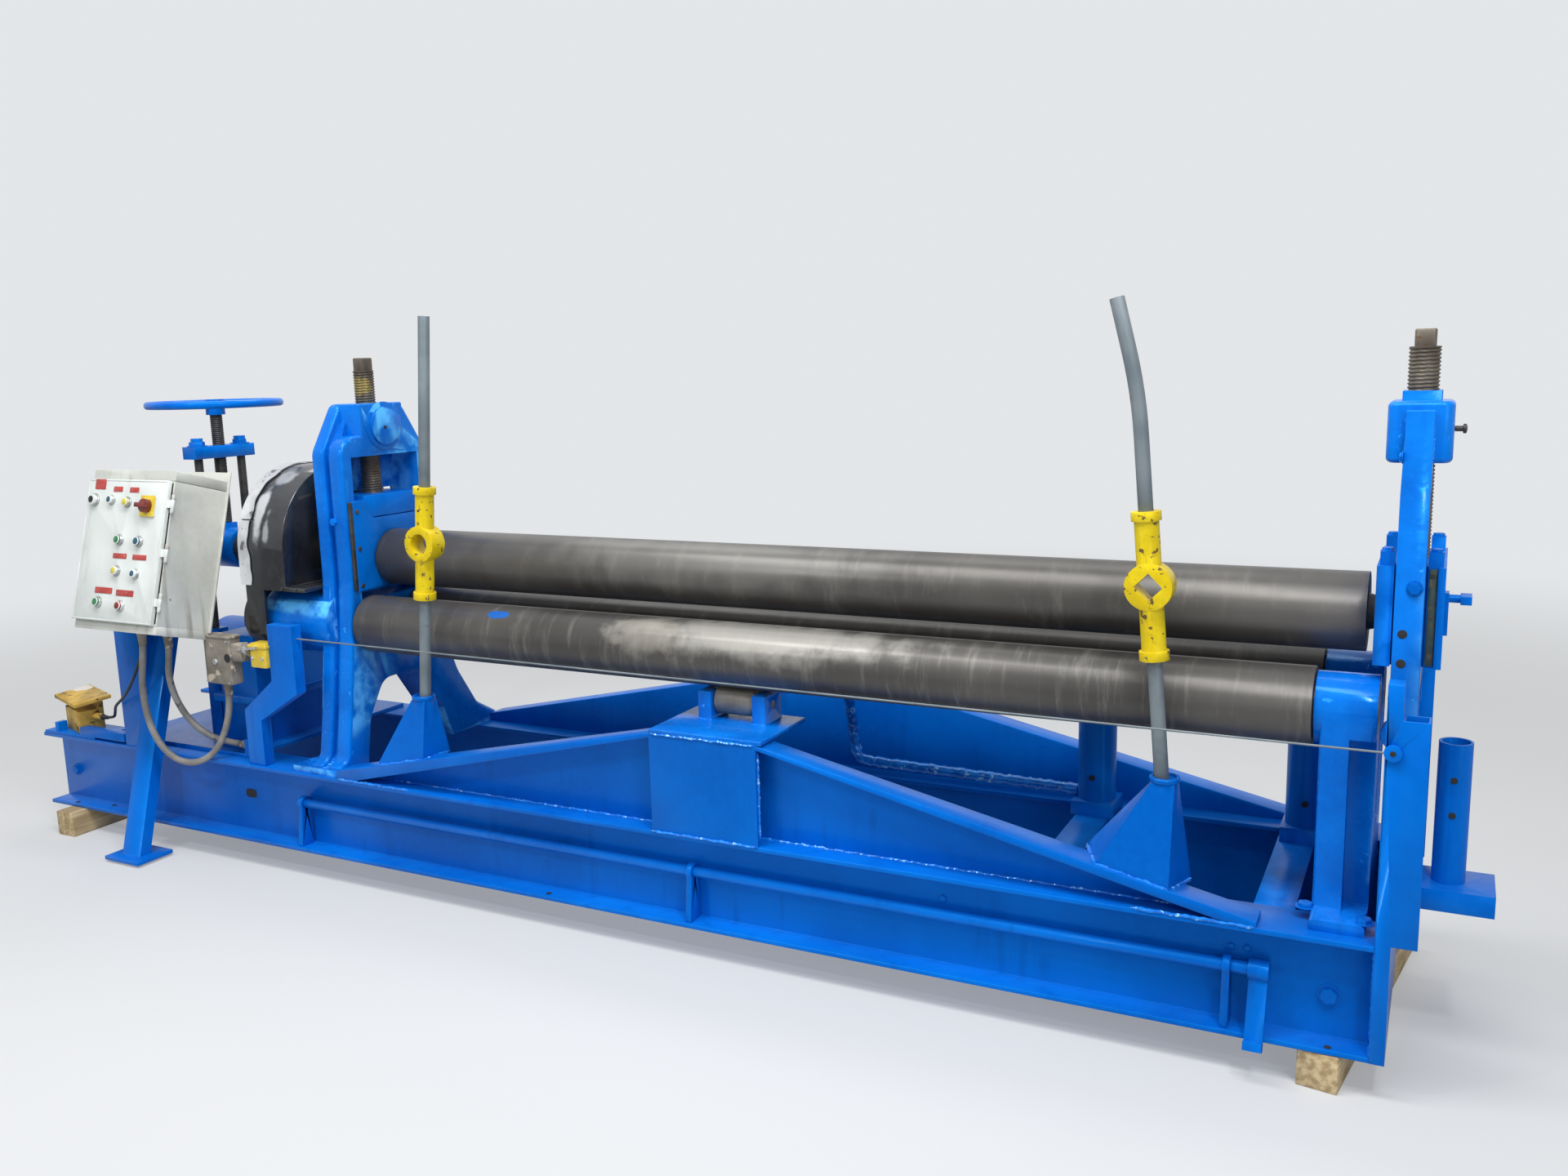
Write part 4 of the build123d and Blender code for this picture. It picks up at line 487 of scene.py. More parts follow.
# the CAD nodes that get each finish; the others are blueEnamel
dressed = {
    "sawnTimber": "timber_left timber_right", "castBlueAndGlints": "left_housing right_housing drop_end roller_bracket",
    "rollSteel": "top_roll rear_roll", "frontRollSteel": "front_roll", "wornSteel": "support_roller",
    "screwSteel": "left_screw right_screw", "zincPipe": "wrench_bar_left wrench_bar_right trip_wire",
    "yellowEnamel": "wrench_head_left wrench_head_right", "guardSheetAndGlare": "gear_guard", "boxWhite": "control_box",
    "doorWhite": "control_door", "redPlastic": "rotary_knob", "greyCast": "junction_box",
    "yellowPlate": "trip_switch", "yellowCast": "foot_pedal foot_switch", "conduitGrey": "conduit_loop conduit_low",
    "paintedShadeBlack": "pedal_lead",
}
finishOf = {name: finish for finish, names in dressed.items() for name in names.split()}


def softenEdges(piece, width):
    # joins the loose triangles, rounds every sharp edge a little and evens the shading
    weld = piece.modifiers.new("weld", "WELD")
    weld.merge_threshold = 1e-5
    bevel = piece.modifiers.new("bevel", "BEVEL")
    bevel.width = width
    bevel.segments = 2
    bevel.limit_method = "ANGLE"
    bevel.angle_limit = math.radians(40)
    bevel.harden_normals = True
    bevel.use_clamp_overlap = True
    piece.data.shade_smooth()


# width of each node's rounded edges; none on the cords and the wire
usualEdge = 0.0022
edgeOf = {"timber_left": 0.004, "timber_right": 0.004, "trip_wire": 0.0, "conduit_loop": 0.0,
          "conduit_low": 0.0, "pedal_lead": 0.0, "end_plate": 0.0012}
for name, node in nodes.items():
    finish = looks[finishOf.get(name, "blueEnamel")]
    if not node.data.materials:
        node.data.materials.append(finish)
    for index in range(len(node.data.materials)):
        node.data.materials[index] = finish
    if edgeOf.get(name, usualEdge):
        softenEdges(node, edgeOf.get(name, usualEdge))
for name, piece in cords.items():
    finish = cordLook[name]["finish"]
    piece.data.materials.append(looks[finish])
print("CAD nodes and cords dressed")

# surface helpers: every new piece is made of grids of points, rows by columns


def turned(axis, twist=0.0):
    # rotation whose third column is the axis
    axis = np.array(axis, float) / np.linalg.norm(axis)
    guide = np.array((1.0, 0.0, 0.0)) if abs(axis[0]) < 0.9 else np.array((0.0, 1.0, 0.0))
    first = guide - axis * (guide @ axis)
    first /= np.linalg.norm(first)
    second = np.cross(axis, first)
    spin = math.radians(twist)
    return np.stack([math.cos(spin) * first + math.sin(spin) * second,
                     math.cos(spin) * second - math.sin(spin) * first, axis], axis=1)


def moved(grid, place, axis=(0, 0, 1), twist=0.0):
    # the grid's own Z laid along an axis, at a place
    return grid @ turned(axis, twist).T + np.array(place)


def section(radius, heights, angle):
    # rows of points about Z: (radius * cos, radius * sin, height)
    return np.stack([radius * np.cos(angle), radius * np.sin(angle), np.repeat(heights[:, None], len(angle), axis=1)],
                    axis=-1)


def spun(profile, around=36, sides=0):
    # a profile of (radius, height) turned about Z; with sides it becomes that polygon instead of a circle
    angle = np.linspace(0, 2 * np.pi, around, endpoint=False)
    reach = np.ones(around)
    if sides:
        wedge = 2 * np.pi / sides
        reach = math.cos(wedge / 2) / np.cos(angle % wedge - wedge / 2)
    radius, height = np.array(profile, float).T
    return section(radius[:, None] * reach, height, angle)


def slab(wide, deep, high, soft=0.002, around=40, power=0.16):
    # a plate with a squared circle as its outline and a softened rim; its middle is at the origin
    angle = np.linspace(0, 2 * np.pi, around, endpoint=False)
    x = np.sign(np.cos(angle)) * np.abs(np.cos(angle)) ** power
    y = np.sign(np.sin(angle)) * np.abs(np.sin(angle)) ** power
    rows = np.array([(soft, 0), (soft * 0.3, soft * 0.3), (0, soft), (0, high - soft),
                     (soft * 0.3, high - soft * 0.3), (soft, high)])
    inset, height = rows.T
    return np.stack([x * (wide / 2 - inset[:, None]), y * (deep / 2 - inset[:, None]),
                     np.repeat(height[:, None] - high / 2, around, axis=1)], axis=-1)


def tube(points, radius, around=16):
    # rings about a path; the radius may change along it
    points = np.array(points, float)
    ahead = np.gradient(points, axis=0)
    ahead /= np.linalg.norm(ahead, axis=1, keepdims=True)
    guide = np.array((0.31, 0.17, 0.93))
    side = guide - ahead * (ahead @ guide)[:, None]
    side /= np.linalg.norm(side, axis=1, keepdims=True)
    over = np.cross(ahead, side)
    angle = np.linspace(0, 2 * np.pi, around, endpoint=False)
    radius = np.broadcast_to(radius, len(points))[:, None, None]
    ring = side[:, None] * np.cos(angle)[None, :, None] + over[:, None] * np.sin(angle)[None, :, None]
    return points[:, None] + radius * ring


def skin(name, grids, finish, body, cover=()):
    # one mesh from closed grids: columns join round, and each end row closes onto its own middle point
    points, quads, fans, start = [], [], [], 0
    for grid in grids:
        rows, columns = grid.shape[:2]
        index = start + np.arange(rows * columns).reshape(rows, columns)
        beside = np.roll(index, -1, axis=1)
        quads.append(np.stack([index[:-1], beside[:-1], beside[1:], index[1:]], axis=-1).reshape(-1, 4))
        low = start + rows * columns
        high = low + 1
        fans.append(np.stack([beside[0], index[0], np.full(columns, low)], axis=-1))
        fans.append(np.stack([index[-1], beside[-1], np.full(columns, high)], axis=-1))
        points += [grid.reshape(-1, 3), grid[0].mean(0)[None], grid[-1].mean(0)[None]]
        start = high + 1
    mesh = bpy.data.meshes.new(name)
    mesh.from_pydata(np.concatenate(points).tolist(), [], np.concatenate(quads).tolist()
                     + np.concatenate(fans).tolist())
    mesh.shade_smooth()
    piece = linked(name, mesh)
    mesh.materials.append(looks[finish])
    mesh.set_sharp_from_angle(angle=math.radians(38))
    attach(piece, body)
    if cover:
        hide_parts(*cover)
    return piece


# places taken from the CAD nodes
beamLow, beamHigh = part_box("front_beam")
topLow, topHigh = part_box("top_roll")
leftEnd, rightEnd, front, deck, back = beamLow.x, beamHigh.x, beamLow.y, beamHigh.z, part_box("rear_beam")[1].y
mid = (leftEnd + rightEnd) / 2
rollY = (topLow.y + topHigh.y) / 2
rollLeft, rollRight = leftEnd + 1.4885, rightEnd - 0.1565
webY = front + 0.068
socketY = rollY - 0.261
socketX = {"left": rollLeft + 0.32, "right": rollRight - 0.306}
minusY, plusX, plusZ = (0, -1, 0), (1, 0, 0), (0, 0, 1)
print("surface helpers ready")


def taper(radius, thin, length):
    # radius falls from the housing to the cord, in three shallow rings, then closes on the cord
    step = np.linspace(0, 1, 22)
    reach = radius + (thin + 0.0014 - radius) * step ** 0.8 - 0.0011 * (np.sin(step * 7 * math.pi) > 0.2)
    return spun(np.column_stack([reach, step * length]).tolist() + [(thin - 0.0006, length + 0.0005)], 28)


for name, piece in cords.items():
    look = cordLook[name]
    thin = look["radius"]
    sleeves = [moved(taper(radius, thin, length), spot, way) for spot, way, radius, length in look["sleeves"]]
    sleeve = skin(name + "Sleeves", sleeves, look["sleeve"], "base")

# adjusting screws with a real thread and a square top
screwLook = {"pitch": 0.0085, "depth": 0.003, "rowsPerTurn": 9, "around": 48, "runOut": 0.006, "neck": 0.003,
             "square": 0.022, "corner": 1.34, "squareHeights": {"left_screw": 0.042, "right_screw": 0.039}}


def threadWave(height, angle, pitch):
    # 1 on the crest and 0 in the groove, which climbs one pitch a turn
    return np.cos(2 * np.pi * height[:, None] / pitch - angle) * 0.5 + 0.5


def threadedScrew(name, node, body):
    # radius along and about the bar: the thread's wave runs round as it rises; the top is a square drawn in
    low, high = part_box(node)
    pitch, square = screwLook["pitch"], screwLook["square"]
    radius = (high.x - low.x) / 2
    neck = high.z - screwLook["squareHeights"][node]
    height = np.linspace(low.z, neck, int((neck - low.z) / pitch * screwLook["rowsPerTurn"]))
    angle = np.linspace(0, 2 * np.pi, screwLook["around"], endpoint=False)
    wave = threadWave(height, angle, pitch)
    fade = np.clip(np.minimum(height - low.z, neck - height) / screwLook["runOut"], 0, 1)[:, None]
    thread = radius - screwLook["depth"] * (1 - np.clip(wave * 1.5 - 0.2, 0, 1)) * fade
    flats = square / np.maximum(np.abs(np.cos(angle)), np.abs(np.sin(angle)))
    flats = np.minimum(flats, square * screwLook["corner"]) * np.array([1.0, 1.0, 1.0, 0.9])[:, None]
    reach = np.concatenate([thread, np.full((1, len(angle)), radius - screwLook["neck"]), flats])
    height = np.append(height, [neck + 0.001, neck + 0.001, neck + 0.003, high.z - 0.003, high.z])
    centre = (low + high) / 2
    grid = section(reach, height, angle) + (centre.x, centre.y, 0)
    return skin(name, [grid], "screwSteel", body, cover=(node,))


threadedScrew("leftScrewThread", "left_screw", "left_screw_body")
threadedScrew("rightScrewThread", "right_screw", "right_screw_body")

# dark screw under the handwheel and the two tie rods beside it: body, groove depth, and bars as (centre y off the
# roll, radius, low z, high z)
driveLook = {"centre": -1.681, "pitch": 0.007, "rowsPerTurn": 8, "around": 32, "bars": {
    "handwheelScrew": ("handwheel_body", 0.002, [(0.0, 0.0212, 1.13, 1.511)]),
    "tieRods": ("base", 0.0005, [(-0.091, 0.0146, 0.761, 1.361), (0.091, 0.0146, 0.761, 1.361)]),
}}


def roundThread(depth, offY, radius, low, high):
    # radius less a cosine groove
    height = np.linspace(low, high, int((high - low) / driveLook["pitch"] * driveLook["rowsPerTurn"]))
    angle = np.linspace(0, 2 * np.pi, driveLook["around"], endpoint=False)
    reach = radius - depth * (1 - threadWave(height, angle, driveLook["pitch"]))
    return section(reach, height, angle) + (driveLook["centre"], rollY + offY, 0)


for name, (body, depth, bars) in driveLook["bars"].items():
    skin(name, [roundThread(depth, *bar) for bar in bars], "darkSteel", body)
print("screws cut")

# light worn strip round the guard's outer rim, in plates with their edges a little uneven
rimLook = {"width": 0.046, "thick": 0.0024, "plates": 5, "lift": 0.0012, "gap": 0.004, "edge": 0.428,
           "radius": 0.265, "middle": 1.08, "foot": 0.965, "rows": 48}


def guardRim():
    # rows run from the guard's front foot over its top to the back foot; columns go round each plate's own section
    radius, middle, thick, plates = (rimLook[key] for key in ("radius", "middle", "thick", "plates"))
    edge = rollLeft - rimLook["edge"]
    straight = middle - rimLook["foot"]
    total = 2 * straight + math.pi * radius
    grids = []
    for number in range(plates):
        start = total * number / plates + (rimLook["gap"] if number else 0.0)
        along = np.linspace(start, total * (number + 1) / plates, rimLook["rows"])
        bend = np.clip((along - straight) / radius, 0, math.pi)
        over = radius + rimLook["lift"] + thick * (1 + 0.5 * (number % 2))
        drop = straight - np.minimum(np.minimum(along, total - along), straight)
        outY, outZ = -np.cos(bend), np.sin(bend)
        wide = rimLook["width"] * (1 + 0.1 * np.sin(along * 31 + number) + 0.05 * np.sin(along * 83))
        corners = ((0, -thick / 2), (1, -thick / 2), (1, thick / 2), (0, thick / 2))
        ring = [np.stack([edge + wide * across, rollY + outY * over + outY * off,
                          middle + over * outZ - drop + outZ * off], axis=-1) for across, off in corners]
        grids.append(np.stack(ring, axis=1))
    return skin("guardRimStrip", grids, "wornSheet", "base")


guardRim()
print("guard rim laid")

# bolts: a head and a washer of (radius, height), and each set's finish, body, washers and bolts, a bolt being
# (place, axis, width across the flats in metres)
boltShape = [(0.62, 0.0), (1.0, 0.0), (1.0, 0.52), (0.93, 0.62), (0.7, 0.66)]
washerShape = [(1.18, -0.02), (1.25, 0.0), (1.25, 0.12), (1.18, 0.14)]
boltSets = {
    "baseBolts": ("blueEnamel", "base", True, [
        ((-2.307, webY, 0.205), minusY, 0.03), ((2.051, webY, 0.202), minusY, 0.036),
        ((1.13, webY, 0.276), minusY, 0.016), ((1.838, webY, 0.28), minusY, 0.014),
        ((1.874, webY, 0.282), minusY, 0.014), ((1.99, -0.231, deck + 0.026), plusZ, 0.03),
        ((2.116, -0.273, deck + 0.026), plusZ, 0.03), ((rollLeft - 0.16, back - 0.075, deck + 0.022), plusZ, 0.034),
        ((rollLeft - 0.06, back - 0.075, deck + 0.03), plusZ, 0.034),
        ((rollLeft - 0.17, front + 0.06, deck + 0.022), plusZ, 0.034)]),
    "blockBolts": ("darkSteel", "lift", False, [
        ((rollLeft - 0.003, rollY - 0.155, z), plusX, 0.013) for z in (0.965, 1.085, 1.205)]),
    "housingBolts": ("blueEnamel", "base", False, [
        ((rollLeft - 0.066, rollY - 0.193, 1.175), minusY, 0.022),
        ((rollLeft - 0.098, rollY - 0.193, 0.829), minusY, 0.013)]),
    "crossheadNuts": ("blueEnamel", "base", True, [
        ((rollLeft - 0.794, rollY + side * 0.091, 1.405), plusZ, 0.046) for side in (-1, 1)]),
    "dropEndBolts": ("blueEnamel", "drop_body", True, [
        ((2.178, rollY - 0.193, 1.13), minusY, 0.024), ((2.14, rollY - 0.13, 1.405), (-1, 0, 0), 0.02)]),
    "blockKeeperBolts": ("blueEnamel", "right_block_body", True, [
        ((x, rollY + side * 0.137, 1.202), plusZ, 0.022) for x in (2.121, 2.217) for side in (-1, 1)]),
    "stripScrews": ("darkSteel", "right_block_body", False, [
        ((2.212, rollY - 0.154, z), minusY, 0.011) for z in (0.972, 1.062, 1.152)]),
    "postBolts": ("blueEnamel", "base", True, [
        ((-2.048, -0.232, 0.372), plusZ, 0.022), ((-1.945, -0.232, 0.372), plusZ, 0.018)]),
    "guardBolts": ("darkSteel", "base", False, [
        ((x, -0.2795, 0.958), minusY, 0.012) for x in (-1.135, -1.075)]),
}


def boltGrids(bolts, washer):
    # hexagonal heads with a chamfer, each turned a little further than the last, and their washers
    grids = []
    for count, (place, axis, size) in enumerate(bolts):
        half = size / math.sqrt(3)
        grids.append(moved(spun(boltShape, 24, 6) * half, place, axis, 17 * count))
        if washer:
            grids.append(moved(spun(washerShape, 24) * half, place, axis))
    return grids


for name, (finish, body, washer, bolts) in boltSets.items():
    skin(name, boltGrids(bolts, washer), finish, body)
print("bolts set")


def turnedAt(profile, spots, around=24):
    # one profile of (radius, height) turned and set at each (place, axis)
    return [moved(spun(profile, around), place, axis) for place, axis in spots]


# small fittings: holes, a blank plate, the set screw with its check nut, centres, and the strips beside the blocks; the
# holes and centres are near-black discs of painted shade
pinHole = [(0.006, 0.0), (0.0095, 0.0), (0.0098, 0.0008), (0.0075, 0.0011)]
webHole = [(0.004, 0.0), (0.008, 0.0), (0.0082, 0.0007), (0.005, 0.001)]
drilled = [(0.006, 0.0), (0.0085, 0.0004), (0.0085, 0.001), (0.004, 0.0014)]
centreHole = [(0.004, -0.0004), (0.0062, 0.0002), (0.0058, 0.001), (0.003, 0.0014)]
setScrew = [(0.004, 0.0), (0.0062, 0.001), (0.0062, 0.016), (0.0105, 0.017), (0.0105, 0.023), (0.004, 0.025)]
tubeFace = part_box("stand_tube_middle")[0].y - 0.0006
fittings = {
    "legPinHoles": ("paintedShadeBlack", "drop_body", turnedAt(
        pinHole, [((2.159, rollY - 0.193, z), minusY) for z in (1.029, 0.964)])),
    "beamHoles": ("paintedShadeBlack", "base", turnedAt(
        webHole, [((x, y, 0.1022), plusZ) for x, y in ((-2.246, -0.322), (-2.083, -0.294), (-0.095, -0.317),
                                                       (2.057, -0.324))], 20)
        + [moved(slab(0.05, 0.03, 0.0016, 0.0005, power=0.55), (rollLeft - 0.494, webY - 0.0005, 0.232), minusY)]),
    "housingBlankPlate": ("darkSteel", "base", [
        moved(slab(0.02, 0.07, 0.003, 0.0012), (rollLeft - 0.128, rollY - 0.2065, 0.71), minusY)]),
    "bossSetScrew": ("darkSteel", "drop_body", turnedAt(setScrew, [((2.236, rollY, 1.46), plusX)])),
    "bossCentre": ("paintedShadeBlack", "base", turnedAt(
        centreHole, [((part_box("left_housing")[1].x, rollY, 1.467), plusX)], 20)),
    "hingePinCentre": ("paintedShadeBlack", "base", turnedAt(
        centreHole, [((2.1575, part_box("hinge_pin")[0].y, 0.8), minusY)], 20)),
    "leftGibStrip": ("darkSteel", "lift", [
        moved(slab(0.01, 0.286, 0.012, 0.0015), (rollLeft - 0.0085, rollY - 0.1765, 1.094), minusY)]),
    "rightGibStrip": ("tealStrip", "right_block_body", [
        moved(slab(0.017, 0.214, 0.004, 0.001), (2.2125, rollY - 0.1555, 1.061), minusY)]),
    "tubeHoles": ("paintedShadeBlack", "base", turnedAt(
        drilled, [((x, tubeFace, z), minusY) for x, z in ((1.383, 0.474), (1.94, 0.471))], 22)),
    "stubHoles": ("paintedShadeBlack", "base", [
        moved(spun(drilled, 22) * 0.9, (2.278, -0.0505, z), minusY) for z in (0.667, 0.584)]),
}
for name, (finish, body, grids) in fittings.items():
    skin(name, grids, finish, body)
print("fittings placed")

# control panel, in places (across, up) from its lower left corner: caps as (finish, (across, up, radius)), and
# plates as (finish, body, thickness, softened rim, squareness, distance out, (across, up, wide, high))
doorFace = 0.014
panelLook = {
    "corner": (rollLeft - 0.944, front - 0.19151, 0.862), "tilt": 15.5, "stand": 0.011, "dome": 0.007,
    "caps": {
        "whiteCaps": ("doorWhite", [(0.041, 0.399, 0.017)]),
        "darkCaps": ("blueCap", [(0.126, 0.401, 0.012), (0.288, 0.162, 0.012), (0.285, 0.268, 0.014)]),
        "yellowCaps": ("yellowCap", [(0.205, 0.395, 0.013), (0.195, 0.168, 0.013)]),
        "greenCaps": ("greenCap", [(0.19, 0.27, 0.014), (0.125, 0.062, 0.014)]),
        "redCaps": ("redPlastic", [(0.236, 0.055, 0.014)]),
    },
    "mouth": (0.041, 0.399),
    "plates": {
        "blankLabels": ("redLabel", "door_body", 0.0016, 0.0004, 0.1, doorFace + 0.0008, [
            (0.06, 0.452, 0.052, 0.034), (0.15, 0.437, 0.044, 0.017), (0.23, 0.436, 0.044, 0.017),
            (0.2, 0.217, 0.066, 0.017), (0.296, 0.216, 0.066, 0.017), (0.143, 0.101, 0.084, 0.02),
            (0.248, 0.097, 0.084, 0.02)]),
        "rotaryPlate": ("yellowPlate", "door_body", 0.0012, 0.0004, 0.1, doorFace + 0.0052, [
            (0.307, 0.384, 0.069, 0.069)]),
        "doorLip": ("doorWhite", "door_body", 0.003, 0.001, 0.1, doorFace, [
            (0.194, 0.466, 0.38, 0.004), (0.194, 0.004, 0.38, 0.004), (0.004, 0.235, 0.004, 0.46),
            (0.384, 0.235, 0.004, 0.46)]),
        "boxRimBands": ("boxWhite", "base", 0.2, 0.002, 0.06, -0.101, [
            (0.2, 0.488, 0.4, 0.034), (0.2, -0.014, 0.4, 0.03)]),
    },
}


def onPanel(grid, across, up, out):
    # lays a grid on the leaning panel, its own Z pointing out of it
    tilt = math.radians(panelLook["tilt"])
    outward = np.array((0, -math.cos(tilt), math.sin(tilt)))
    upward = np.array((0, math.sin(tilt), math.cos(tilt)))
    corner = np.array(panelLook["corner"])
    return moved(grid, corner + np.array((across, 0, 0)) + upward * up + outward * out, outward)


def dressPanel():
    # every control is a profile of radius and height: a metal collar, then a domed cap inside it
    stand, dome = panelLook["stand"], panelLook["dome"]
    collars = []
    for name, (finish, spots) in panelLook["caps"].items():
        caps = []
        for across, up, radius in spots:
            collar = [(radius + 0.004, -0.001), (radius + 0.005, 0.001), (radius + 0.005, stand * 0.35),
                      (radius + 0.003, stand * 0.45), (radius + 0.003, stand - 0.003),
                      (radius + 0.0015, stand - 0.001)]
            cap = [(radius + 0.0008, stand - 0.006), (radius + 0.0008, stand + dome * 0.2),
                   (radius * 0.93, stand + dome * 0.57), (radius * 0.7, stand + dome * 0.86),
                   (radius * 0.35, stand + dome)]
            collars.append(onPanel(spun(collar, 32), across, up, doorFace))
            caps.append(onPanel(spun(cap, 32), across, up, doorFace))
        skin(name, caps, finish, "door_body")
    skin("buttonCollars", collars, "chromeRing", "door_body")
    # the selector's mouth is a near-black disc of painted shade
    mouth = spun([(0.009, 0.0), (0.0112, 0.0004), (0.0108, 0.0014), (0.004, 0.0016)], 28)
    skin("selectorMouth", [onPanel(mouth, *panelLook["mouth"], doorFace + stand + dome - 0.0007)], "paintedShadeBlack",
         "door_body")
    for name, (finish, body, thick, soft, power, out, spots) in panelLook["plates"].items():
        skin(name, [onPanel(slab(wide, high, thick, soft, power=power), across, up, out)
                    for across, up, wide, high in spots], finish, body)


dressPanel()
print("panel dressed")

# cast junction box with its bolt, open knockout and cover screws; case, lid and lever of the trip switch. The open
# knockout is a near-black disc of painted shade.
boxLow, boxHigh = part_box("junction_box")
switchLow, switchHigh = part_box("trip_switch")
junctionLook = {"wide": 0.124, "deep": 0.052, "left": -1.45, "bolt": (-1.393, 0.712), "mouth": (-1.337, 0.727)}
caseX, caseY = junctionLook["left"] + junctionLook["wide"] / 2, boxLow.y + junctionLook["deep"] / 2
switchY = (switchLow.y + switchHigh.y) / 2
boxMiddle, lipZ = (boxLow.z + boxHigh.z) / 2 - 0.003, boxHigh.z - 0.006
bolt, mouth = ((x, boxLow.y, z) for x, z in (junctionLook["bolt"], junctionLook["mouth"]))
wide, deep = junctionLook["wide"], junctionLook["deep"]
gland = [(0.016, 0.0), (0.024, 0.001), (0.024, 0.014), (0.019, 0.016), (0.019, 0.034), (0.023, 0.035), (0.023, 0.05),
         (0.014, 0.051)]
coverScrew = [(0.003, 0.0), (0.0045, 0.001), (0.004, 0.003), (0.0015, 0.0035)]
knockout = [(0.01, 0.0), (0.0145, 0.0006), (0.014, 0.0016), (0.006, 0.002)]
pivot = [(0.006, 0.0), (0.012, 0.001), (0.012, 0.009), (0.006, 0.01)]
skin("junctionCase", [
    moved(slab(wide, deep, boxHigh.z - boxLow.z - 0.01, 0.005, power=0.22), (caseX, caseY, boxMiddle)),
    moved(slab(wide + 0.006, deep + 0.004, 0.008, 0.002, power=0.22), (caseX, caseY, lipZ)),
    moved(slab(0.04, 0.06, 0.06, 0.004, power=0.3), (-1.31, caseY, 0.745), plusX),
    moved(spun(gland, 24, 6), (-1.292, caseY, 0.757), plusX),
], "greyCast", "base", cover=("junction_box",))
skin("junctionScrews", [
    moved(spun(boltShape, 24, 6) * 0.0105, bolt, minusY),
    *turnedAt(coverScrew, [((caseX + side * 0.052, boxLow.y, boxLow.z + up), minusY) for side in (-1, 1)
                           for up in (0.01, 0.15)], 16),
], "chromeRing", "base")
skin("junctionMouth", turnedAt(knockout, [(mouth, minusY)], 28), "paintedShadeBlack", "base")
skin("tripSwitchCase", [
    moved(slab(0.073, 0.05, 0.082, 0.004, power=0.16), (-1.2055, switchY, 0.743)),
    moved(slab(0.085, 0.056, 0.01, 0.002, power=0.16), (-1.207, switchY, 0.7725)),
], "yellowPlate", "base", cover=("trip_switch",))
skin("tripLever", [
    tube(np.linspace((-1.262, switchLow.y - 0.004, 0.76), (-1.2, switchLow.y - 0.006, 0.772), 12), 0.0045, 14),
    *turnedAt(pivot, [((-1.262, switchLow.y + 0.004, 0.76), minusY)]),
    *[moved(spun(boltShape, 18, 6) * 0.006, (x, switchLow.y, 0.735), minusY) for x in (-1.23, -1.184)],
], "chromeRing", "base")
print("switches fitted")

# rough pipe behind the girder, from the stand tube along and up to the rear plate, its blue flecked with specks of
# painted glint
pipeLook = {"radius": 0.0165, "route": [(0.612, 0.3055, 0.64), (0.626, 0.3055, 0.54), (0.634, 0.3055, 0.46),
                                        (0.65, 0.3055, 0.43), (0.69, 0.3055, 0.424), (1.33, 0.3055, 0.416)]}


def roughPipe():
    # evenly spaced places along the route, and a radius that swells in short waves
    route = np.array(pipeLook["route"])
    run = np.concatenate([[0], np.cumsum(np.linalg.norm(np.diff(route, axis=0), axis=1))])
    share = np.linspace(0, run[-1], 170)
    line = np.column_stack([np.interp(share, run, route[:, axis]) for axis in range(3)])
    radius = pipeLook["radius"] * (1 + 0.1 * np.sin(share * 95) * np.sin(share * 23 + 1) + 0.05 * np.sin(share * 211))
    return tube(line, radius, 18)


skin("rearPipe", [roughPipe()], "weldBlueAndGlints", "base")
print("rear pipe laid")

# turned collars round the top of each wrench socket
collar = spun([(0.0305, -0.012), (0.0345, -0.01), (0.0352, -0.002), (0.0335, 0.0), (0.0285, 0.0005),
               (0.0272, -0.006)], 40)
for side, centre in socketX.items():
    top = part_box("wrench_socket_" + side)[1].z
    skin(side + "SocketCollar", [moved(collar, (centre, socketY, top), plusZ)], "blueEnamel", "base")
print("small fittings placed")

# weld seams: wavy beads along the joints of the base, one mesh of tubes with a rippled radius, their blue flecked with
# specks of painted glint
weldLook = {"radius": 0.0042, "ripple": 0.22, "step": 0.006}


def bead(start, end, seed=0.0, scale=1.0):
    # a straight run whose radius and line waver as the weld was laid
    start, end = np.array(start, float), np.array(end, float)
    count = max(8, int(np.linalg.norm(end - start) / weldLook["step"]))
    share = np.linspace(0, 1, count)
    line = start + (end - start) * share[:, None]
    line[:, 2] += 0.0008 * np.sin(share * count * 0.7 + seed)
    radius = weldLook["radius"] * scale * (1 + weldLook["ripple"] * np.sin(share * count * 1.9 + seed)
                                           + 0.12 * np.sin(share * count * 0.31 + seed * 2))
    return tube(line, radius * np.clip(np.minimum(share, 1 - share) * count / 2, 0.25, 1), 8)


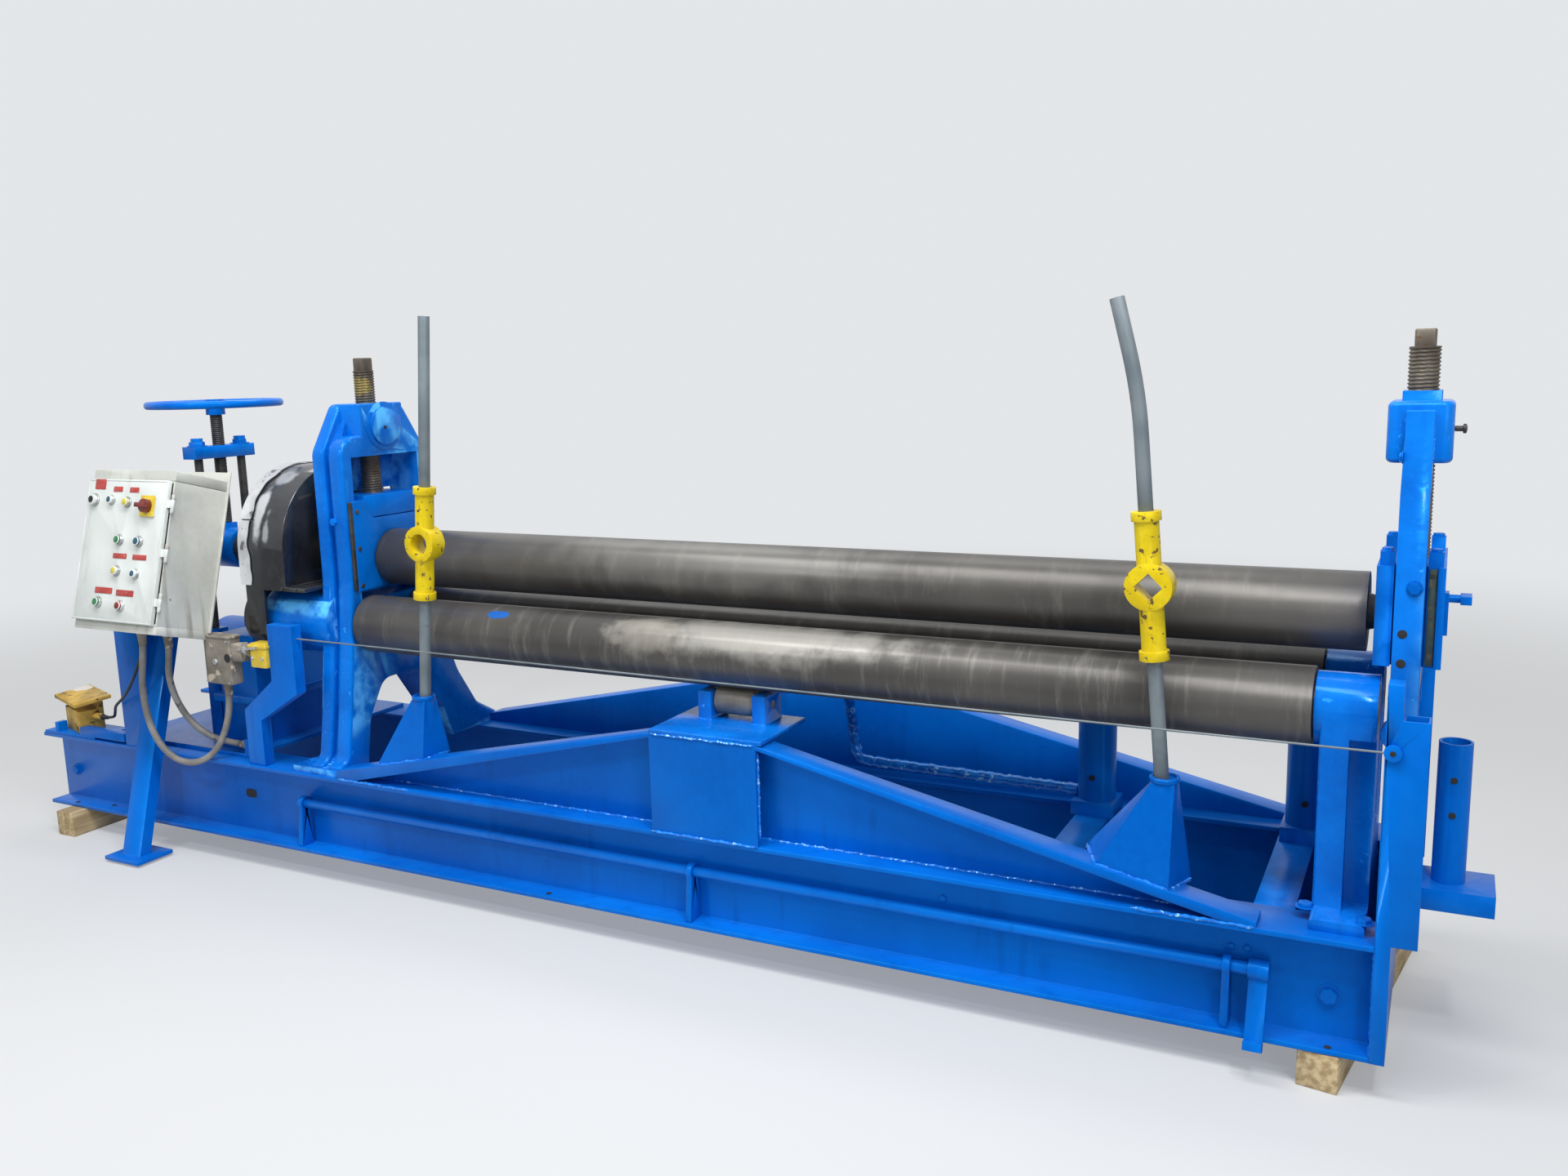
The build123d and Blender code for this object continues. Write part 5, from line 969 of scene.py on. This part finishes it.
# edges of the girder and its middle plate; then, for the sockets, each girder side's crest height, crest x and slope
girderLow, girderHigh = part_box("front_girder")
girderY, plateY = girderLow.y, girderLow.y + 0.013
plateLeft, plateRight = mid + 0.412, mid + 0.747
webFace = girderLow.y + 0.065
girderTop = {"left": (0.643, 0.295, 0.2123), "right": (0.643, 0.63, -0.2112)}
socketFoot = np.array([(-0.172, -0.056), (0.024, -0.056), (0.056, 0.056), (-0.236, 0.056)])
socketCrown = np.array([(-0.026, -0.026), (0.026, -0.026), (0.026, 0.026), (-0.026, 0.026)])
seams = [
    bead((girderLow.x + 0.06, webFace, deck), (girderHigh.x - 0.05, webFace, deck), 0.4),
    bead((girderLow.x, girderY + 0.002, deck + 0.001), (girderLow.x + 0.3, girderY + 0.002, deck + 0.001)),
    bead((girderHigh.x - 0.28, girderY + 0.002, deck + 0.001), (girderHigh.x, girderY + 0.002, deck + 0.001)),
    bead((plateLeft, girderY - 0.001, deck), (plateRight, girderY - 0.001, deck), 1.1),
    bead((plateLeft, plateY, deck + 0.01), (plateLeft, plateY, deck + 0.26), 2.0),
    bead((plateRight, plateY, deck + 0.01), (plateRight, plateY, deck + 0.26), 0.7),
    bead((plateLeft, girderY, deck + 0.281), (plateRight, girderY, deck + 0.281), 1.4, 0.8),
]


def socketSeams(side):
    # each corner runs straight from its place on the ground to the square top, and meets the sloping girder between:
    # ground + share * (top - ground) = the girder's height at foot + share * (crown - foot)
    high, crest, slope = girderTop[side]
    centre = socketX[side]
    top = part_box("wrench_socket_" + side)[1].z - 0.012
    ground = (high + slope * (centre + np.array((-0.236, 0.056)) - crest)).min()
    start = high + slope * (centre + socketFoot[:, 0] - crest) - ground
    share = (start / (top - ground - slope * (socketCrown - socketFoot)[:, 0]))[:, None]
    spot = socketFoot + (socketCrown - socketFoot) * share
    corner = np.column_stack([centre + spot[:, 0], socketY + spot[:, 1], ground + share * (top - ground)])
    return [bead(corner[index], corner[(index + 1) % 4], 0.3 + index) for index in (0, 1, 3)]


seams += socketSeams("left") + socketSeams("right")
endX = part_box("end_plate")[0].x - 0.001
seams.append(bead((endX, beamLow.y + 0.004, 0.104), (endX, beamLow.y + 0.06, 0.104)))
seams.append(bead((endX, front + 0.067, 0.105), (endX, front + 0.067, deck - 0.015), 0.5))
skin("weldSeams", seams, "weldBlueAndGlints", "base")
print("seams welded")

# floor, pale surroundings, and lamps as (place, target, size, power)
studio = {
    "floor": (0.6, 0.61, 0.62), "floorRough": 0.7, "floorShine": 0.2, "reach": 16.0, "fade": (2.6, 8.5),
    "nearGlow": 0.35, "sky": (0.84, 0.86, 0.88), "glow": 0.92, "world": 0.37,
    "lamps": {
        "overheadFront": ((0.4, -1.6, 4.4), (0.0, 0.0, 0.8), (5.5, 0.9), 200.0),
        "overheadBack": ((-0.6, 1.6, 4.4), (0.0, 0.0, 0.9), (5.5, 0.9), 60.0),
        "sideSoft": ((4.6, -3.4, 2.2), (0.6, 0.0, 0.9), (2.0, 2.0), 28.0),
        "glintLeft": ((-1.2, -3.2, 3.4), (-1.0, 0.0, 0.9), (0.28, 0.28), 34.0),
        "glintRight": ((3.0, -2.2, 3.6), (1.4, 0.0, 0.7), (0.28, 0.28), 34.0),
    },
}


def paleFloor():
    # plain floor that keeps the shadow and fades into the sky's colour away from the object, for the camera only
    material, tree, shader = newMaterial("paleFloor")
    shader.inputs["Base Color"].default_value = (*studio["floor"], 1)
    shader.inputs["Roughness"].default_value = studio["floorRough"]
    shader.inputs["Specular IOR Level"].default_value = studio["floorShine"]
    far = vectorMaths(tree, "LENGTH", put(tree, "ShaderNodeTexCoord").outputs["Object"])["Value"]
    fade = rampMask(tree, far, *studio["fade"])
    fade = maths(tree, "MULTIPLY_ADD", fade, 1 - studio["nearGlow"], studio["nearGlow"])
    seen = maths(tree, "MULTIPLY", put(tree, "ShaderNodeLightPath").outputs["Is Camera Ray"], fade)
    glow = put(tree, "ShaderNodeEmission", {"Color": (*studio["sky"], 1), "Strength": studio["glow"]}).outputs[0]
    mixed = put(tree, "ShaderNodeMixShader", {0: seen, 1: shader.outputs["BSDF"], 2: glow}).outputs[0]
    output = next(node for node in tree.nodes if node.type == "OUTPUT_MATERIAL")
    tree.links.new(mixed, output.inputs["Surface"])
    return material


def buildStudio():
    scene = bpy.context.scene
    mesh = bpy.data.meshes.new("floor")
    reach = studio["reach"]
    corners = [(-reach, -reach, 0), (reach, -reach, 0), (reach, reach, 0), (-reach, reach, 0)]
    mesh.from_pydata(corners, [], [(0, 1, 2, 3)])
    floor = linked("floor", mesh)
    mesh.materials.append(paleFloor())
    scene.world = bpy.data.worlds.new("paleRoom")
    scene.world.use_nodes = True
    tree = scene.world.node_tree
    tree.nodes.clear()
    paths = put(tree, "ShaderNodeLightPath").outputs
    seen = maths(tree, "MAXIMUM", paths["Is Camera Ray"], maths(tree, "MAXIMUM", paths["Is Glossy Ray"],
                                                                paths["Is Transmission Ray"]))
    room = put(tree, "ShaderNodeBackground", {"Color": (1, 1, 1, 1), "Strength": studio["world"]}).outputs[0]
    pale = put(tree, "ShaderNodeBackground", {"Color": (*studio["sky"], 1), "Strength": studio["glow"]}).outputs[0]
    mixed = put(tree, "ShaderNodeMixShader", {0: seen, 1: room, 2: pale}).outputs[0]
    put(tree, "ShaderNodeOutputWorld", {"Surface": mixed})
    for name, (spot, target, size, power) in studio["lamps"].items():
        lamp = bpy.data.lights.new(name, "AREA")
        lamp.shape = "RECTANGLE"
        lamp.size, lamp.size_y = size
        lamp.energy = power
        away = np.array(spot) - np.array(target)
        away /= np.linalg.norm(away)
        across = np.cross((0.0, 1.0, 0.0), away)
        across /= np.linalg.norm(across)
        stand(linked(name, lamp), across, np.cross(away, across), away, spot)
    scene.view_settings.view_transform = "Standard"


buildStudio()
print("studio ready")
